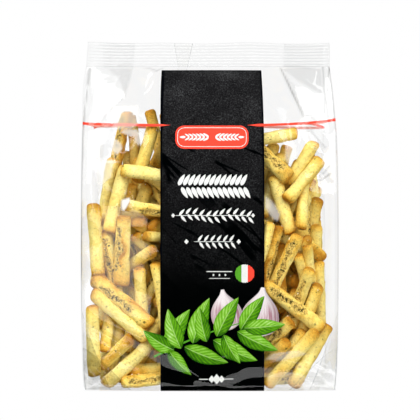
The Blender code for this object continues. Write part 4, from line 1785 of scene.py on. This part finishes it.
def build_stage():
    """Lights, cards, floor, surround and camera."""
    scene = bpy.context.scene
    scene.view_settings.view_transform = "Standard"
    scene.cycles.transparent_max_bounces = 24
    scene.cycles.max_bounces = 8
    build_floor()
    build_surround()
    soft_light("key", -28, 44, 0.85, 0.65, 0.65, 7.0)
    soft_light("fill", 34, 20, 1.1, 0.8, 0.8, 8.2)
    mirrored_shape("left_ceiling_card", [(x, y, CEILING) for x, y in LEFT_CEILING], 5.6)
    mirrored_shape("right_ceiling_card", [(x, y, CEILING) for x, y in RIGHT_CEILING], 5.6)
    mirrored_card("left_window_card", (-0.42, WINDOW, 0.52), 0.36, 0.66, 4.6)
    mirrored_card("right_window_card", (0.42, WINDOW, 0.52), 0.36, 0.66, 4.6)
    mirrored_shape("low_window_card", [(x, WINDOW, z) for x, z in LOW_WINDOW], 3.2)
    build_camera()


# ---------------------------------------------------------------------------------------------------------
# Assembly.
def claim(slot, *pieces):
    """Pieces that ride on the bag's one body and stand for its solid; the slot is not used."""
    for piece in pieces:
        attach(piece, "root")
        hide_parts("breadstick_bag")


def build_bag():
    """The film, the print and the breadsticks, each piece attached to the bag's body."""
    claim("clear_film", make_film(film_finish()))
    claim("film_seal", make_seal(seal_finish()))
    fin = fold_finish("fin_film", 0.975)
    claim("film_seal", *make_back_fin(fin), make_base_seal(fin))
    folded = {
        "left": fold_finish("clouded_fold_film", 0.78, 0.87),
        "right": fold_finish("folded_film", 0.93, 0.98),
    }
    claim("clear_film", *make_corner_folds(folded))

    slate = slate_finish()
    for name, panel in (("front_strip", on_front), ("back_strip", on_back)):
        claim("slate_print", make_strip(name, slate, panel, SLATE_LIFT))
    red, pale = ink_finish("red_print", colour(250, 76, 58)), ink_finish("pale_print", colour(226, 227, 224))
    green, leaf = ink_finish("green_print", colour(86, 160, 44)), leaf_finish()
    claim("red_print", make_stripes(red))
    claim("red_print", *make_far_stripes(red, ink_finish("faded_print", colour(250, 178, 170))))
    badge, line, grains = make_badge(red, pale)
    claim("red_print", badge)
    claim("pale_print", line, grains, *make_pale_ornaments(pale))
    for piece, slot in zip(make_tricolour(green, pale, red), ("leaf_print", "pale_print", "red_print")):
        claim(slot, piece)
    claim("leaf_print", *make_leaf_spray(leaf, green))
    claim("bulb_print", make_bulbs(bulb_finish()))

    start, end, radius, split, shown = lay_breadsticks()
    sticks = Sticks(start, end, radius, split, shown, 19)
    crust = crust_finish()
    kinds = (
        ("plain_breadsticks", ~split & shown, 30, 22),
        ("split_breadsticks", split & shown, 84, 44),
        ("inner_plain_breadsticks", ~split & ~shown, 24, 18),
        ("inner_split_breadsticks", split & ~shown, 40, 26),
    )
    for name, chosen, rows, columns in kinds:
        claim("breadstick_crust", make_sticks(name, sticks.pick(chosen), rows, columns, crust))
    herbs = grain_finish("herb_flakes", 0.8, 0.2, [
        (0.0, (56, 58, 20)), (0.5, (86, 86, 32)), (0.85, (112, 106, 44)), (1.0, (140, 122, 56)),
    ])
    claim("herb_flakes", make_herbs(sticks, herbs))
    crumbs = grain_finish("bread_crumbs", 0.85, 0.3, [
        (0.0, (206, 164, 84)), (0.4, (232, 206, 140)), (0.7, (248, 238, 206)), (1.0, (255, 252, 240)),
    ])
    claim("bread_crumbs", make_crumbs(sticks, crumbs))


build_bag()
build_stage()
